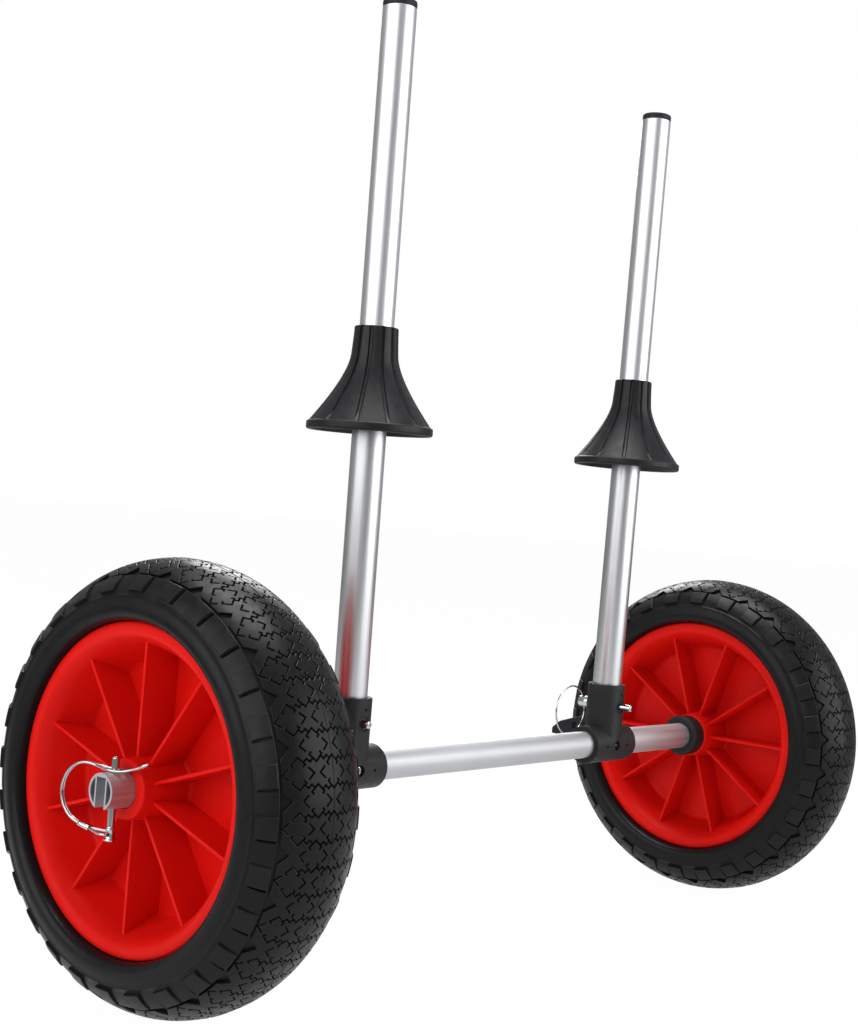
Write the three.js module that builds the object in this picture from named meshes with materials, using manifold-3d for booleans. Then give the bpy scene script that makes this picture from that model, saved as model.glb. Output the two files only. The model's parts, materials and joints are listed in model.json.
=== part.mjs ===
// Scupper kayak cart: two foam-tyred wheels on a channelled aluminium axle, two moulded T joints that
// carry upright posts, a fluted rubber cone on each post, and wire pins that hold it all together.
// Millimetres, +Z up. The origin is on the ground under the middle of the axle, +X runs along the axle
// and -Y is the side that the detent pins point to. Heights are above the axle's centre line.
import * as THREE from 'three';
import { mergeVertices } from 'three/addons/utils/BufferGeometryUtils.js';
import Module from 'manifold-3d';

const wasm = await Module();
wasm.setup();

// Fits that every piece shares
const seatGap = 0.3; // between pieces that seat on each other
const cutOverrun = 2; // how far a cutting tool runs past the face that it leaves
const weldDistance = 0.0001; // corners closer than this are one corner

// Tyres: a flattened oval section, diamond blocks on the crown and square lugs on the shoulders
const tyreHeight = 42; // from the rim's flange out to the tread
const tyreWidth = 91;
const beadHeight = 2; // from the rim's flange up to the widest ring of the tyre
const ovalPower = 2.12; // squareness of the section
const treadPitches = 28; // blocks of a row and high lugs of a shoulder, round the tyre
const blockRows = 4; // half diamonds from the middle of the crown to its edge
const treadDepth = 2.4; // groove between diamond blocks
const lugStep = 1.8; // between a high shoulder lug and a low one
const crownShare = 0.535; // of the half width, where the diamonds end
const lugTopShare = 0.735; // of the half width, where the shoulder lugs start
const lugFootShare = 0.915; // of the half width, where they end
const sidewallShare = 0.985; // of the half width, where the smooth sidewall starts
const lugColumnShares = [0, 0.44, 0.5, 0.94]; // of a pitch: edges of the high lug and the low one

// Rims: one moulding with a flanged barrel, a middle web, ribs on both sides of it and a hub
const rimRadius = 107.3;
const rimWidth = 74.4; // across both flanges
const flangeThickness = 4.2;
const flangeDepth = 13.7; // from the flange's edge in to the barrel's mouth
const barrelWall = 4;
const barrelDraft = 9.6; // how much narrower the barrel is at the web than at its mouth
const webThickness = 4;
const ribCount = 10;
const ribThickness = 2.4;
const ribSpan = 59; // across the wheel, from the ribs' outer edges to their inner ones
const hubWall = 7.5; // from the bore out to the hub's end
const hubFlare = 3; // how much wider the hub is at the web
const hubLength = 76.4;
const hubChamfer = 1.6;

// Axle: a round extrusion with a channel that opens downwards between two hollow sides
const trackWidth = 683.2; // between the wheels' middle planes
const axleDiameter = 23.4;
const axleWall = 1.7;
const axleProjection = 18.7; // beyond the hub's outer face
const channelWidth = 8.8;
const channelWebThickness = 1.4;

// Spacer collars on the axle, inside the wheels
const collarWall = 6.6;
const collarLength = 15.4;
const collarRounding = 3;

// T joints: a sleeve on the axle and a socket for the post
const postSpacing = 334;
const postPairOffset = -8.3; // the pair of posts is fitted a little to one side of the middle
const sleeveWall = 4.5;
const sleeveLength = 59;
const socketWall = 3.5;
const socketDepth = 38; // how deep the post stands in its socket
const socketFloorThickness = 3; // between the axle's bore and the post's foot
const mouldedEdge = 1; // chamfer on the moulding's rims
const pinDrop = 18.6; // from the socket's mouth down to the detent pin
const pinHoleDiameter = 6.2;
const pinCounterboreDiameter = 11;
const pinCounterboreDepth = 1.2;
const screwCounterboreDiameter = 8.6;
const screwCounterboreDepth = 2.6;
const dimpleDiameter = 2.6;
const dimpleDepth = 1;
const sleeveDimpleSpacing = 30;
const socketDimpleDrop = 8; // from the socket's mouth

// Strap eye moulded on the back of each T joint
const eyeReach = 59; // behind the axle's centre line
const eyeThickness = 7;
const eyeSideOffset = 7.5; // to the side of the post, clear of the pull ring
const eyeRootHeight = 27;
const eyeTipHeight = 5.4;
const eyeShoulderHeight = 12.2;
const eyeShoulderInset = 7.5; // from the eye's end to where its top edge turns down
const eyeBarWidth = 4.4; // of the frame round the eye's window

// Screws that fix the T joints to the axle
const screwHeadDiameter = 7;
const screwHeadHeight = 1.9;
const screwShankDiameter = 4;
const screwGrip = 1.2; // how far the shank reaches past the axle's wall
const screwEdge = 0.7; // chamfer on the head and the point

// Posts and their caps
const postDiameter = 25.4;
const postWall = 1.6;
const postLength = 542.7;
const leanPlayShare = 0.81; // of the gap in the socket, which lets the two posts lean apart
const capHeight = 5;
const capRounding = 1.6;
const capPlugLength = 16;
const capPlugTaper = 0.8;

// Detent pins, each with a sprung ball near its tip and a pull ring through its head
const detentPinDiameter = 5.6;
const detentShankLength = 45; // from under the head to the tip
const detentChamfer = 1;
const detentHeadDiameter = 9.6;
const detentHeadLength = 10.2;
const ringHoleDiameter = 3.4;
const ringHoleInset = 4.2; // from the head's end to the middle of the cross hole
const ringHoleLeanDegrees = 20; // how far the cross hole leans from upright
const ringRadius = 21.5; // to the middle of the wire
const ringWireDiameter = 1.7;
const ballDiameter = 3;
const ballProjection = 0.25;
const ballInset = 3.6; // from the pin's tip
const ballPlay = 0.1; // between the ball and its bore
const ballBoreDepth = 4.9;
const springTurns = 2.25;
const springWireDiameter = 0.28;
const springDiameter = 2.4; // to the middle of the wire
const leftPinDrawn = 6.6; // the left pin stands drawn back by its free play

// Cones: fluted bungs with a hollow underside
const coneHeight = 77.5;
const coneRise = 193.5; // from the socket's mouth up to the cone, where it was slid to
const coneBoreGap = 0.5;
const coneNeckWall = 2.3; // at the top
const coneNeckTaper = 1.8; // from the top down to the waist
const coneWaistHeight = 57.5; // above the cone's base, where the flare starts
const coneThroatHeight = 41; // where the flare would turn if it had a corner
const coneThroatGrowth = 1; // from the waist to that corner
const coneLipRadius = 46.6;
const coneLipHeight = 6.4;
const coneLipStep = 1.6; // from the lip in to the petals' feet
const coneLipChamfer = 1.2;
const coneWall = 3.4;
const petalCount = 12;
const petalGrooveWidth = 3;
const petalGrooveDepth = 1.2;

// Lock pins through the axle's ends
const lockPinDiameter = 5;
const lockPinStandoff = 8.1; // from the hub's face to the pin's axis
const lockPinProjection = 10; // above the axle
const lockPinSlack = 11.7; // between the axle's underside and the pin's head
const lockPinHeadDiameter = 8;
const lockPinHeadHeight = 8.6;
const lockPinChamfer = 1;

// Wire bails: closed hairpins that turn in the lock pins' heads and snap over the axle
const bailWireDiameter = 1.8;
const bailHoleDiameter = 2.9;
const bailPinGap = 0.5; // beside the lock pin, where the two wires straddle it
const bailReach = 41.6; // from the lock pin's axis to the far side of the loop
const bailArcRadius = 19.8;
const bailArcStartDegrees = 97;
const bailArcEndDegrees = 260;
const bailTailLength = 26;
const bailTailRise = 7;
const hairpinShare = 0.8; // of the straddle: how far the two wires are drawn together at the tail's end
const tailShares = [[0.76, 0.62], [0.5, 0.24], [0.15, 0]]; // of the tail's length and of its rise
const bailHeadGap = 0.4; // beside the head, where the wires pass it
const bailBendRadius = 1.6; // where a wire turns into the head's hole
const bailTurnDegrees = -78; // which way the tail points, measured from +X
const ferruleLength = 9;
const ferruleWall = 0.7;
const ferruleWireGap = 0.8; // between the two wires in the ferrule

// Flat sides and steps that round shapes are made of
const wheelSides = treadPitches; // so that the tyre's seat and the rim's have their corners in line
const tubeSides = 20;
const smallSides = 12;
const wireSides = 5;
const ringSteps = 24;
const arcSteps = 8;
const bendSteps = 3;
const flareSteps = 4;
const springSteps = 6;

// Sizes and places that follow
const degrees = Math.PI / 180;
const turn = 2 * Math.PI;
const axleRadius = axleDiameter / 2;
const axleBore = axleRadius + seatGap;
const wheelX = trackWidth / 2;
const hubRadius = axleBore + hubWall;
const tyreRadius = rimRadius + tyreHeight;
const barrelMouthRadius = rimRadius - flangeDepth;
const barrelWebRadius = barrelMouthRadius - barrelDraft;
const hubFaceX = wheelX + hubLength / 2;
const axleLength = 2 * (hubFaceX + axleProjection);
const lockPinX = hubFaceX + lockPinStandoff;
const postRadius = postDiameter / 2;
const sleeveRadius = axleBore + sleeveWall;
const socketRadius = postRadius + seatGap + socketWall;
const socketFloor = axleBore + socketFloorThickness;
const socketMouth = socketFloor + socketDepth;
const pinHeight = socketMouth - pinDrop;
const postFoot = socketFloor + seatGap;
const postTop = postFoot + postLength;
// a post leans about its pin until its foot and the socket's mouth are nearly reached
const postLean = Math.atan((seatGap * leanPlayShare) / Math.max(pinDrop, pinHeight - postFoot));
const postPlaces = [
  { side: 'left', x: postPairOffset - postSpacing / 2, lean: -postLean, drawn: leftPinDrawn },
  { side: 'right', x: postPairOffset + postSpacing / 2, lean: postLean, drawn: 0 },
];
const wheelPlaces = [
  { side: 'left', sign: -1 },
  { side: 'right', sign: 1 },
];

// Materials
const finish = (name, color, roughness, metalness) =>
  new THREE.MeshStandardMaterial({ name, color, roughness, metalness });
const aluminium = () => finish('aluminium', 0xc9ccd1, 0.32, 1);
const chrome = () => finish('chrome', 0xd8dade, 0.12, 1);
const redPlastic = () => finish('red_plastic', 0xc8140c, 0.42, 0);
const blackPlastic = () => finish('black_plastic', 0x1d1e20, 0.5, 0);
const coneRubber = () => finish('cone_rubber', 0x232427, 0.6, 0);
const tyreFoam = () => finish('tyre_foam', 0x17181a, 0.72, 0);

// Solids and meshes

// One corner per place, with every face turned outwards
function closed(geometry) {
  const bare = geometry.clone();
  bare.deleteAttribute('normal');
  bare.deleteAttribute('uv');
  const g = mergeVertices(bare, weldDistance);
  const p = g.attributes.position;
  const index = g.index;
  const [a, b, c] = [new THREE.Vector3(), new THREE.Vector3(), new THREE.Vector3()];
  let volume = 0;
  for (let i = 0; i < index.count; i += 3) {
    a.fromBufferAttribute(p, index.getX(i));
    b.fromBufferAttribute(p, index.getX(i + 1));
    c.fromBufferAttribute(p, index.getX(i + 2));
    volume += a.dot(b.cross(c));
  }
  if (volume < 0) {
    for (let i = 0; i < index.count; i += 3) {
      const second = index.getX(i + 1);
      index.setX(i + 1, index.getX(i + 2));
      index.setX(i + 2, second);
    }
  }
  return g;
}

function solidOf(geometry) {
  const g = closed(geometry);
  return new wasm.Manifold(
    new wasm.Mesh({
      numProp: 3,
      vertProperties: new Float32Array(g.attributes.position.array),
      triVerts: new Uint32Array(g.index.array),
    }),
  );
}

function geometryOf(solid) {
  const { vertProperties, triVerts } = solid.getMesh();
  return geometryFrom(vertProperties, triVerts);
}

function geometryFrom(coordinates, corners) {
  const g = new THREE.BufferGeometry();
  g.setAttribute('position', new THREE.Float32BufferAttribute(coordinates, 3));
  g.setIndex(new THREE.Uint32BufferAttribute(corners, 1));
  return g;
}

function mesh(name, geometry, material) {
  const g = closed(geometry);
  g.computeVertexNormals();
  const out = new THREE.Mesh(g, material);
  out.name = name;
  return out;
}

// A profile of [radius, distance along the axis] points, turned about the named axis
function revolve(profile, axis, sides = tubeSides) {
  const points = profile.map(([radius, along]) => new THREE.Vector2(radius, along));
  if (profile[0][0] > 0) points.push(points[0].clone());
  const g = new THREE.LatheGeometry(points, sides);
  if (axis === 'x') g.rotateZ(-turn / 4);
  if (axis === 'z') g.rotateX(turn / 4);
  return g;
}

// A plain round bar between two distances along the named axis
function bar(radius, from, to, axis, sides = tubeSides) {
  return revolve([[0, from], [radius, from], [radius, to], [0, to]], axis, sides);
}

// An outline drawn as [across, up], given a thickness and centred on it: across becomes +Y, up stays up
function plate(outline, thickness) {
  const g = new THREE.ExtrudeGeometry(outline, { depth: thickness, bevelEnabled: false });
  g.translate(0, 0, -thickness / 2);
  g.rotateX(turn / 4);
  g.rotateZ(turn / 4);
  return g;
}

const mirrored = (points) => points.map(([radius, x]) => [radius, -x]).reverse();

const shapeOf = (points) => new THREE.Shape(points.map(([across, up]) => new THREE.Vector2(across, up)));

// A skin over rings of corners, closed from the last ring to the first. Neighbouring rings have as many
// corners, or one has twice as many. A ring may say how low each corner lies, so that grooves run straight.
function loft(rings) {
  const starts = [];
  let total = 0;
  rings.forEach((ring) => {
    starts.push(total);
    total += ring.points.length;
  });
  const faces = [];
  rings.forEach((ring, k) => {
    const after = (k + 1) % rings.length;
    const next = rings[after];
    const [s, t] = [starts[k], starts[after]];
    const [count, nextCount] = [ring.points.length, next.points.length];
    if (count === nextCount) {
      for (let i = 0; i < count; i += 1) {
        const j = (i + 1) % count;
        const rising = (ring.low?.[i] ?? 0) + (next.low?.[j] ?? 0);
        const falling = (ring.low?.[j] ?? 0) + (next.low?.[i] ?? 0);
        if (rising >= falling) {
          faces.push(s + i, s + j, t + j, s + i, t + j, t + i);
        } else {
          faces.push(s + i, s + j, t + i, s + j, t + j, t + i);
        }
      }
      return;
    }
    const narrowing = count > nextCount;
    const [fine, coarse] = narrowing ? [s, t] : [t, s];
    const coarseCount = Math.min(count, nextCount);
    for (let i = 0; i < coarseCount; i += 1) {
      const [a, b, c] = [fine + 2 * i, fine + 2 * i + 1, fine + ((2 * i + 2) % (2 * coarseCount))];
      const [d, e] = [coarse + i, coarse + ((i + 1) % coarseCount)];
      [[a, b, d], [b, e, d], [b, c, e]].forEach(([p, q, r]) => {
        faces.push(...(narrowing ? [p, q, r] : [p, r, q]));
      });
    }
  });
  return geometryFrom(rings.flatMap((ring) => ring.points.flatMap((v) => v.toArray())), faces);
}

// A round wire through points, either with two flat ends or closed on itself
function wire(points, diameter, isLoop, sides = wireSides) {
  const count = points.length;
  const tangents = points.map((p, i) => {
    const before = isLoop ? points[(i + count - 1) % count] : points[Math.max(i - 1, 0)];
    const after = isLoop ? points[(i + 1) % count] : points[Math.min(i + 1, count - 1)];
    return after.clone().sub(before).normalize();
  });
  const normals = [new THREE.Vector3(1, 0, 0).cross(tangents[0]).normalize()];
  const carried = (normal, tangent) =>
    normal.clone().addScaledVector(tangent, -normal.dot(tangent)).normalize();
  for (let i = 1; i < count; i += 1) {
    normals.push(carried(normals[i - 1], tangents[i]));
  }
  // what the frame has turned by on its way round is given back evenly
  const returned = carried(normals[count - 1], tangents[0]);
  const difference = returned.angleTo(normals[0]);
  const twist = isLoop ? difference * Math.sign(returned.cross(normals[0]).dot(tangents[0])) : 0;
  const corners = points.flatMap((p, i) => {
    const side = tangents[i].clone().cross(normals[i]);
    return Array.from({ length: sides }, (_, k) => {
      const angle = turn * (k / sides) + twist * (i / count);
      return p.clone()
        .addScaledVector(normals[i], (diameter / 2) * Math.cos(angle))
        .addScaledVector(side, (diameter / 2) * Math.sin(angle));
    });
  });
  const faces = [];
  const spans = isLoop ? count : count - 1;
  for (let i = 0; i < spans; i += 1) {
    const [a, b] = [i * sides, ((i + 1) % count) * sides];
    for (let k = 0; k < sides; k += 1) {
      const n = (k + 1) % sides;
      faces.push(a + k, a + n, b + n, a + k, b + n, b + k);
    }
  }
  if (!isLoop) {
    const last = (count - 1) * sides;
    for (let k = 1; k + 1 < sides; k += 1) {
      faces.push(0, k + 1, k, last, last + k, last + k + 1);
    }
  }
  return geometryFrom(corners.flatMap((v) => v.toArray()), faces);
}

// Wheels, about their own middle, with the axle along X

// Half of the barrel's section as [radius, offset]: its inside, its flange and its seat for the tyre
function barrelSection(gap) {
  const face = rimWidth / 2;
  const ribEdge = ribSpan / 2;
  const soft = flangeThickness / 4;
  return {
    inside: [
      [barrelMouthRadius, ribEdge],
      [rimRadius - 2 * flangeThickness, face - soft],
    ],
    flange: [
      [rimRadius - flangeThickness, face],
      [rimRadius - soft, face - soft],
    ],
    seat: [
      [rimRadius + gap, face - flangeThickness - gap],
      [barrelMouthRadius + barrelWall + gap, ribEdge - gap],
    ],
    seatMiddle: [barrelWebRadius + barrelWall + gap, 0],
  };
}

function rimGeometry() {
  const { inside, flange, seat, seatMiddle } = barrelSection(0);
  const half = [...inside, ...flange, ...seat];
  const barrel = revolve([[barrelWebRadius, 0], ...half, seatMiddle, ...mirrored(half)], 'x', wheelSides);
  const hubEnd = hubLength / 2;
  const hubHalf = [
    [hubRadius + hubFlare, webThickness / 2],
    [hubRadius, hubEnd - hubChamfer],
    [hubRadius - hubChamfer, hubEnd],
    [0, hubEnd],
  ];
  const hub = revolve([...mirrored(hubHalf), ...hubHalf], 'x');
  const intoWall = barrelWall / 2;
  const web = bar(barrelWebRadius + intoWall, -webThickness / 2, webThickness / 2, 'x', wheelSides);
  let rim = solidOf(barrel).add(solidOf(hub)).add(solidOf(web));
  // each rib plate runs right through the wheel, so that half as many plates make all the ribs
  const edge = ribSpan / 2;
  const reach = barrelMouthRadius + intoWall;
  const waist = barrelWebRadius + intoWall;
  const outline = shapeOf([
    [-reach, -edge], [reach, -edge], [waist, 0], [reach, edge], [-reach, edge], [-waist, 0],
  ]);
  for (let k = 0; k < ribCount / 2; k += 1) {
    const rib = plate(outline, ribThickness);
    rib.rotateZ(turn / 4);
    rib.rotateY(turn / 4);
    rib.rotateX(turn * (k / ribCount));
    rim = rim.add(solidOf(rib));
  }
  const bore = bar(axleBore, -hubEnd - cutOverrun, hubEnd + cutOverrun, 'x');
  return geometryOf(rim.subtract(solidOf(bore)));
}

function tyreGeometry() {
  const halfWidth = tyreWidth / 2;
  const sectionRadius = rimRadius + beadHeight;
  const columns = lugColumnShares.length;
  const radiusAt = (x) => {
    const rise = (1 - Math.abs(x / halfWidth) ** ovalPower) ** (1 / ovalPower);
    return sectionRadius + (tyreRadius - sectionRadius) * rise;
  };
  const ringAt = (radius, x, count, lowAt = () => 0, shareAt = (i) => i / count) => {
    const low = Array.from({ length: count }, (_, i) => lowAt(i));
    const points = low.map((drop, i) => {
      const angle = turn * shareAt(i);
      return new THREE.Vector3(x, (radius - drop) * Math.sin(angle), (radius - drop) * Math.cos(angle));
    });
    return { points, low };
  };
  const fine = treadPitches * columns;
  // the grooves are the two families of diagonals through every second corner of a pitch
  const half = columns / 2;
  const isGroove = (i, j) => (i + j) % columns === half || (i + columns * blockRows - j) % columns === half;
  const tread = [];
  for (let j = -blockRows; j <= blockRows; j += 1) {
    const x = halfWidth * crownShare * (j / blockRows);
    tread.push(ringAt(radiusAt(x), x, fine, (i) => (isGroove(i, Math.abs(j)) ? treadDepth : 0)));
  }
  const lugLow = (i) => (i % columns < half ? 0 : lugStep);
  const lugPlace = (i) => (Math.floor(i / columns) + lugColumnShares[i % columns]) / treadPitches;
  const lugRing = (share, sign) => {
    const x = halfWidth * share;
    return ringAt(radiusAt(x), sign * x, fine, lugLow, lugPlace);
  };
  const { seat, seatMiddle } = barrelSection(seatGap);
  const sidewall = [[radiusAt(halfWidth * sidewallShare), halfWidth * sidewallShare]];
  const bead = [[rimRadius + seatGap, rimWidth / 2], ...seat];
  const plain = (points, count) => points.map(([radius, x]) => ringAt(radius, x, count));
  return loft([
    ...tread,
    lugRing(lugTopShare, 1),
    lugRing(lugFootShare, 1),
    ...plain(sidewall, 2 * wheelSides),
    ...plain([...bead, seatMiddle, ...mirrored(bead)], wheelSides),
    ...plain(mirrored(sidewall), 2 * wheelSides),
    lugRing(lugFootShare, -1),
    lugRing(lugTopShare, -1),
  ]);
}

// Axle and collars

function axleGeometry() {
  const inside = axleRadius - axleWall;
  const half = channelWidth / 2;
  const lip = Math.asin(half / axleRadius);
  const roof = inside * Math.cos(Math.asin(half / inside));
  const section = new THREE.Shape();
  section.absarc(0, 0, axleRadius, lip - turn / 4, (3 * turn) / 4 - lip, false);
  section.lineTo(-half, roof);
  section.lineTo(half, roof);
  section.closePath();
  const voidAngle = Math.acos((half + channelWebThickness) / inside);
  [0, turn / 2].forEach((heading) => {
    const hollow = new THREE.Path();
    hollow.absarc(0, 0, inside, heading - voidAngle, heading + voidAngle, false);
    hollow.closePath();
    section.holes.push(hollow);
  });
  const curveSegments = tubeSides;
  const g = new THREE.ExtrudeGeometry(section, { depth: axleLength, bevelEnabled: false, curveSegments });
  g.translate(0, 0, -axleLength / 2);
  g.rotateX(turn / 4);
  g.rotateZ(turn / 4);
  let axle = solidOf(g);
  wheelPlaces.forEach(({ sign }) => {
    const hole = bar(lockPinDiameter / 2 + seatGap, 0, axleRadius + cutOverrun, 'z', smallSides);
    hole.translate(sign * lockPinX, 0, 0);
    axle = axle.subtract(solidOf(hole));
  });
  postPlaces.forEach(({ x }) => {
    const end = axleWall + screwGrip + seatGap - axleRadius;
    const hole = bar(screwShankDiameter / 2 + seatGap, -axleRadius - cutOverrun, end, 'y', smallSides);
    hole.translate(x, 0, 0);
    axle = axle.subtract(solidOf(hole));
  });
  return geometryOf(axle);
}

// The collar's wheel side is flat and its other side rounded
function collarGeometry() {
  const outer = axleBore + collarWall;
  return revolve(
    [
      [axleBore, 0],
      [outer, 0],
      [outer, collarLength - collarRounding],
      [outer - collarRounding / 3, collarLength - collarRounding / 3],
      [outer - collarRounding, collarLength],
      [axleBore, collarLength],
    ],
    'x',
  );
}

// T joints, about the crossing of the post's axis and the axle's

function eyeGeometry() {
  const root = sleeveRadius / 2;
  const shoulder = eyeReach - eyeShoulderInset;
  const outline = shapeOf([
    [root, 0], [eyeReach, 0], [eyeReach, eyeTipHeight], [shoulder, eyeShoulderHeight], [root, eyeRootHeight],
  ]);
  const near = socketRadius + eyeBarWidth / 2;
  const far = shoulder - eyeBarWidth;
  const slope = (eyeRootHeight - eyeShoulderHeight) / (shoulder - root);
  const roofAt = (across) => eyeShoulderHeight + slope * (shoulder - across) - eyeBarWidth;
  outline.holes.push(shapeOf([
    [near, eyeBarWidth], [near, roofAt(near)], [far, roofAt(far)], [far, eyeBarWidth],
  ]));
  const g = plate(outline, eyeThickness);
  g.translate(eyeSideOffset, 0, 0);
  return g;
}

function teeGeometry() {
  const half = sleeveLength / 2;
  const sleeveHalf = [[sleeveRadius, half - mouldedEdge], [sleeveRadius - mouldedEdge, half], [0, half]];
  const sleeve = revolve([...mirrored(sleeveHalf), ...sleeveHalf], 'x');
  const socket = revolve(
    [
      [0, 0],
      [socketRadius, 0],
      [socketRadius, socketMouth - mouldedEdge],
      [socketRadius - mouldedEdge, socketMouth],
      [0, socketMouth],
    ],
    'z',
  );
  let tee = solidOf(sleeve).add(solidOf(socket)).add(solidOf(eyeGeometry()));
  const cut = (tool, x = 0, z = 0) => {
    tool.translate(x, 0, z);
    tee = tee.subtract(solidOf(tool));
  };
  cut(bar(axleBore, -half - cutOverrun, half + cutOverrun, 'x'));
  cut(bar(postRadius + seatGap, socketFloor, socketMouth + cutOverrun, 'z'));
  const through = socketRadius + cutOverrun;
  cut(bar(pinHoleDiameter / 2, -through, through, 'y', smallSides), 0, pinHeight);
  cut(bar(screwShankDiameter / 2 + seatGap, -sleeveRadius, 0, 'y', smallSides));
  // shallow round recesses in the front of the socket and the sleeve
  const recess = (diameter, front, depth) =>
    bar(diameter / 2, -front - cutOverrun, depth - front, 'y', smallSides);
  cut(recess(pinCounterboreDiameter, socketRadius, pinCounterboreDepth), 0, pinHeight);
  cut(recess(screwCounterboreDiameter, sleeveRadius, screwCounterboreDepth));
  cut(recess(dimpleDiameter, sleeveRadius, dimpleDepth), -sleeveDimpleSpacing / 2);
  cut(recess(dimpleDiameter, sleeveRadius, dimpleDepth), sleeveDimpleSpacing / 2);
  cut(recess(dimpleDiameter, socketRadius, dimpleDepth), 0, socketMouth - socketDimpleDrop);
  return geometryOf(tee);
}

function screwGeometry() {
  const seat = screwCounterboreDepth - sleeveRadius - seatGap;
  const tip = axleWall + screwGrip - axleRadius;
  const shank = screwShankDiameter / 2;
  const head = screwHeadDiameter / 2;
  return revolve(
    [
      [0, seat - screwHeadHeight],
      [head - screwEdge, seat - screwHeadHeight],
      [head, seat - screwHeadHeight + screwEdge],
      [head, seat],
      [shank, seat],
      [shank, tip - screwEdge],
      [shank - screwEdge, tip],
      [0, tip],
    ],
    'y',
    smallSides,
  );
}

// Posts and caps

function postGeometry() {
  const inner = postRadius - postWall;
  const wall = [[inner, postFoot], [postRadius, postFoot], [postRadius, postTop], [inner, postTop]];
  const across = postRadius + cutOverrun;
  const hole = bar(pinHoleDiameter / 2, -across, across, 'y', smallSides);
  hole.translate(0, 0, pinHeight);
  return geometryOf(solidOf(revolve(wall, 'z')).subtract(solidOf(hole)));
}

function capGeometry() {
  const plug = postRadius - postWall - seatGap;
  const seat = postTop + seatGap;
  const top = seat + capHeight;
  return revolve(
    [
      [0, seat - capPlugLength],
      [plug - capPlugTaper, seat - capPlugLength],
      [plug, seat],
      [postRadius, seat],
      [postRadius, top - capRounding],
      [postRadius - capRounding / 3, top - capRounding / 3],
      [postRadius - capRounding, top],
      [0, top],
    ],
    'z',
  );
}

// Detent pins with their balls, springs and pull rings, about the pin's axis

const detentRadius = detentPinDiameter / 2;
const detentHeadStart = socketRadius + seatGap;
const detentHeadEnd = detentHeadStart + detentHeadLength;
const detentTip = detentHeadStart - detentShankLength;
const ringHoleY = detentHeadEnd - ringHoleInset;
const ballRadius = ballDiameter / 2;
const ballY = detentTip + ballInset;
const ballDrop = detentRadius + ballProjection - ballRadius;
const ballBoreEnd = ballBoreDepth - detentRadius;

function detentPinGeometry() {
  const head = detentHeadDiameter / 2;
  const pin = revolve(
    [
      [0, detentTip],
      [detentRadius - detentChamfer, detentTip],
      [detentRadius, detentTip + detentChamfer],
      [detentRadius, detentHeadStart],
      [head, detentHeadStart],
      [head, detentHeadEnd - detentChamfer],
      [head - detentChamfer, detentHeadEnd],
      [0, detentHeadEnd],
    ],
    'y',
    smallSides,
  );
  const crossHole = bar(ringHoleDiameter / 2, -head - cutOverrun, head + cutOverrun, 'z', smallSides);
  crossHole.rotateY(-ringHoleLeanDegrees * degrees);
  crossHole.translate(0, ringHoleY, 0);
  const ballBore = bar(ballRadius + ballPlay, -detentRadius - cutOverrun, ballBoreEnd, 'z', smallSides);
  ballBore.translate(0, ballY, 0);
  return geometryOf(solidOf(pin).subtract(solidOf(crossHole)).subtract(solidOf(ballBore)));
}

function ballGeometry() {
  const g = new THREE.SphereGeometry(ballRadius, smallSides, smallSides / 2);
  g.rotateX(turn / 4);
  g.translate(0, ballY, -ballDrop);
  return g;
}

// The spring stands between the ball and the blind end of the ball's bore
function springGeometry() {
  const start = ballRadius - ballDrop + springWireDiameter / 2 + ballPlay;
  const end = ballBoreEnd - springWireDiameter / 2 - ballPlay;
  const steps = Math.round(springTurns * springSteps);
  const reach = springDiameter / 2;
  const points = Array.from({ length: steps + 1 }, (_, i) => {
    const angle = turn * (i / springSteps);
    const height = start + (end - start) * (i / steps);
    return new THREE.Vector3(reach * Math.cos(angle), ballY + reach * Math.sin(angle), height);
  });
  return wire(points, springWireDiameter, false);
}

function pullRingGeometry() {
  const lean = ringHoleLeanDegrees * degrees;
  const g = new THREE.TorusGeometry(ringRadius, ringWireDiameter / 2, wireSides, ringSteps);
  g.rotateX(turn / 4);
  g.translate(-ringRadius * Math.cos(lean), ringHoleY, -ringRadius * Math.sin(lean));
  return g;
}

// Cones, standing on their lips

function coneGeometry() {
  const columns = 3; // corners to a petal: the groove's middle and its two edges
  const fine = petalCount * columns;
  const bore = postRadius + coneBoreGap;
  const neck = bore + coneNeckWall;
  const waist = neck + coneNeckTaper;
  const corner = (radius, angle, height) =>
    new THREE.Vector3(radius * Math.cos(angle), radius * Math.sin(angle), height);
  const fluted = (radius, height) => {
    const halfGroove = Math.asin(petalGrooveWidth / 2 / radius);
    const points = Array.from({ length: fine }, (_, i) => {
      const place = (i % columns) - 1;
      const angle = turn * (Math.floor(i / columns) / petalCount) + place * halfGroove;
      return corner(place === 0 ? radius - petalGrooveDepth : radius, angle, height);
    });
    return { points };
  };
  const plain = (radius, height, count) => {
    const angleOf = (i) => turn * (i / count - 1 / fine);
    return { points: Array.from({ length: count }, (_, i) => corner(radius, angleOf(i), height)) };
  };
  const flare = new THREE.QuadraticBezierCurve(
    new THREE.Vector2(waist, coneWaistHeight),
    new THREE.Vector2(waist + coneThroatGrowth, coneThroatHeight),
    new THREE.Vector2(coneLipRadius - coneLipStep, coneLipHeight),
  ).getPoints(flareSteps);
  // the underside follows the flare a wall's thickness inside it, until it meets the bore
  const underside = flare
    .map((p) => [p.x - coneWall, p.y - coneWall])
    .filter(([radius, height]) => radius > bore + coneWall && height > 0)
    .reverse();
  const hollowTop = coneThroatHeight - coneWall;
  return loft([
    fluted(neck, coneHeight),
    ...flare.map((p) => fluted(p.x, p.y)),
    plain(coneLipRadius, coneLipHeight - coneLipChamfer / 2, fine),
    plain(coneLipRadius, coneLipChamfer, fine),
    plain(coneLipRadius - coneLipChamfer, 0, fine),
    plain(coneLipRadius - coneWall, 0, fine / 2),
    ...underside.map(([radius, height]) => plain(radius, height, fine / 2)),
    plain(bore, hollowTop, fine / 2),
    plain(bore, coneHeight, fine / 2),
  ]);
}

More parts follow.
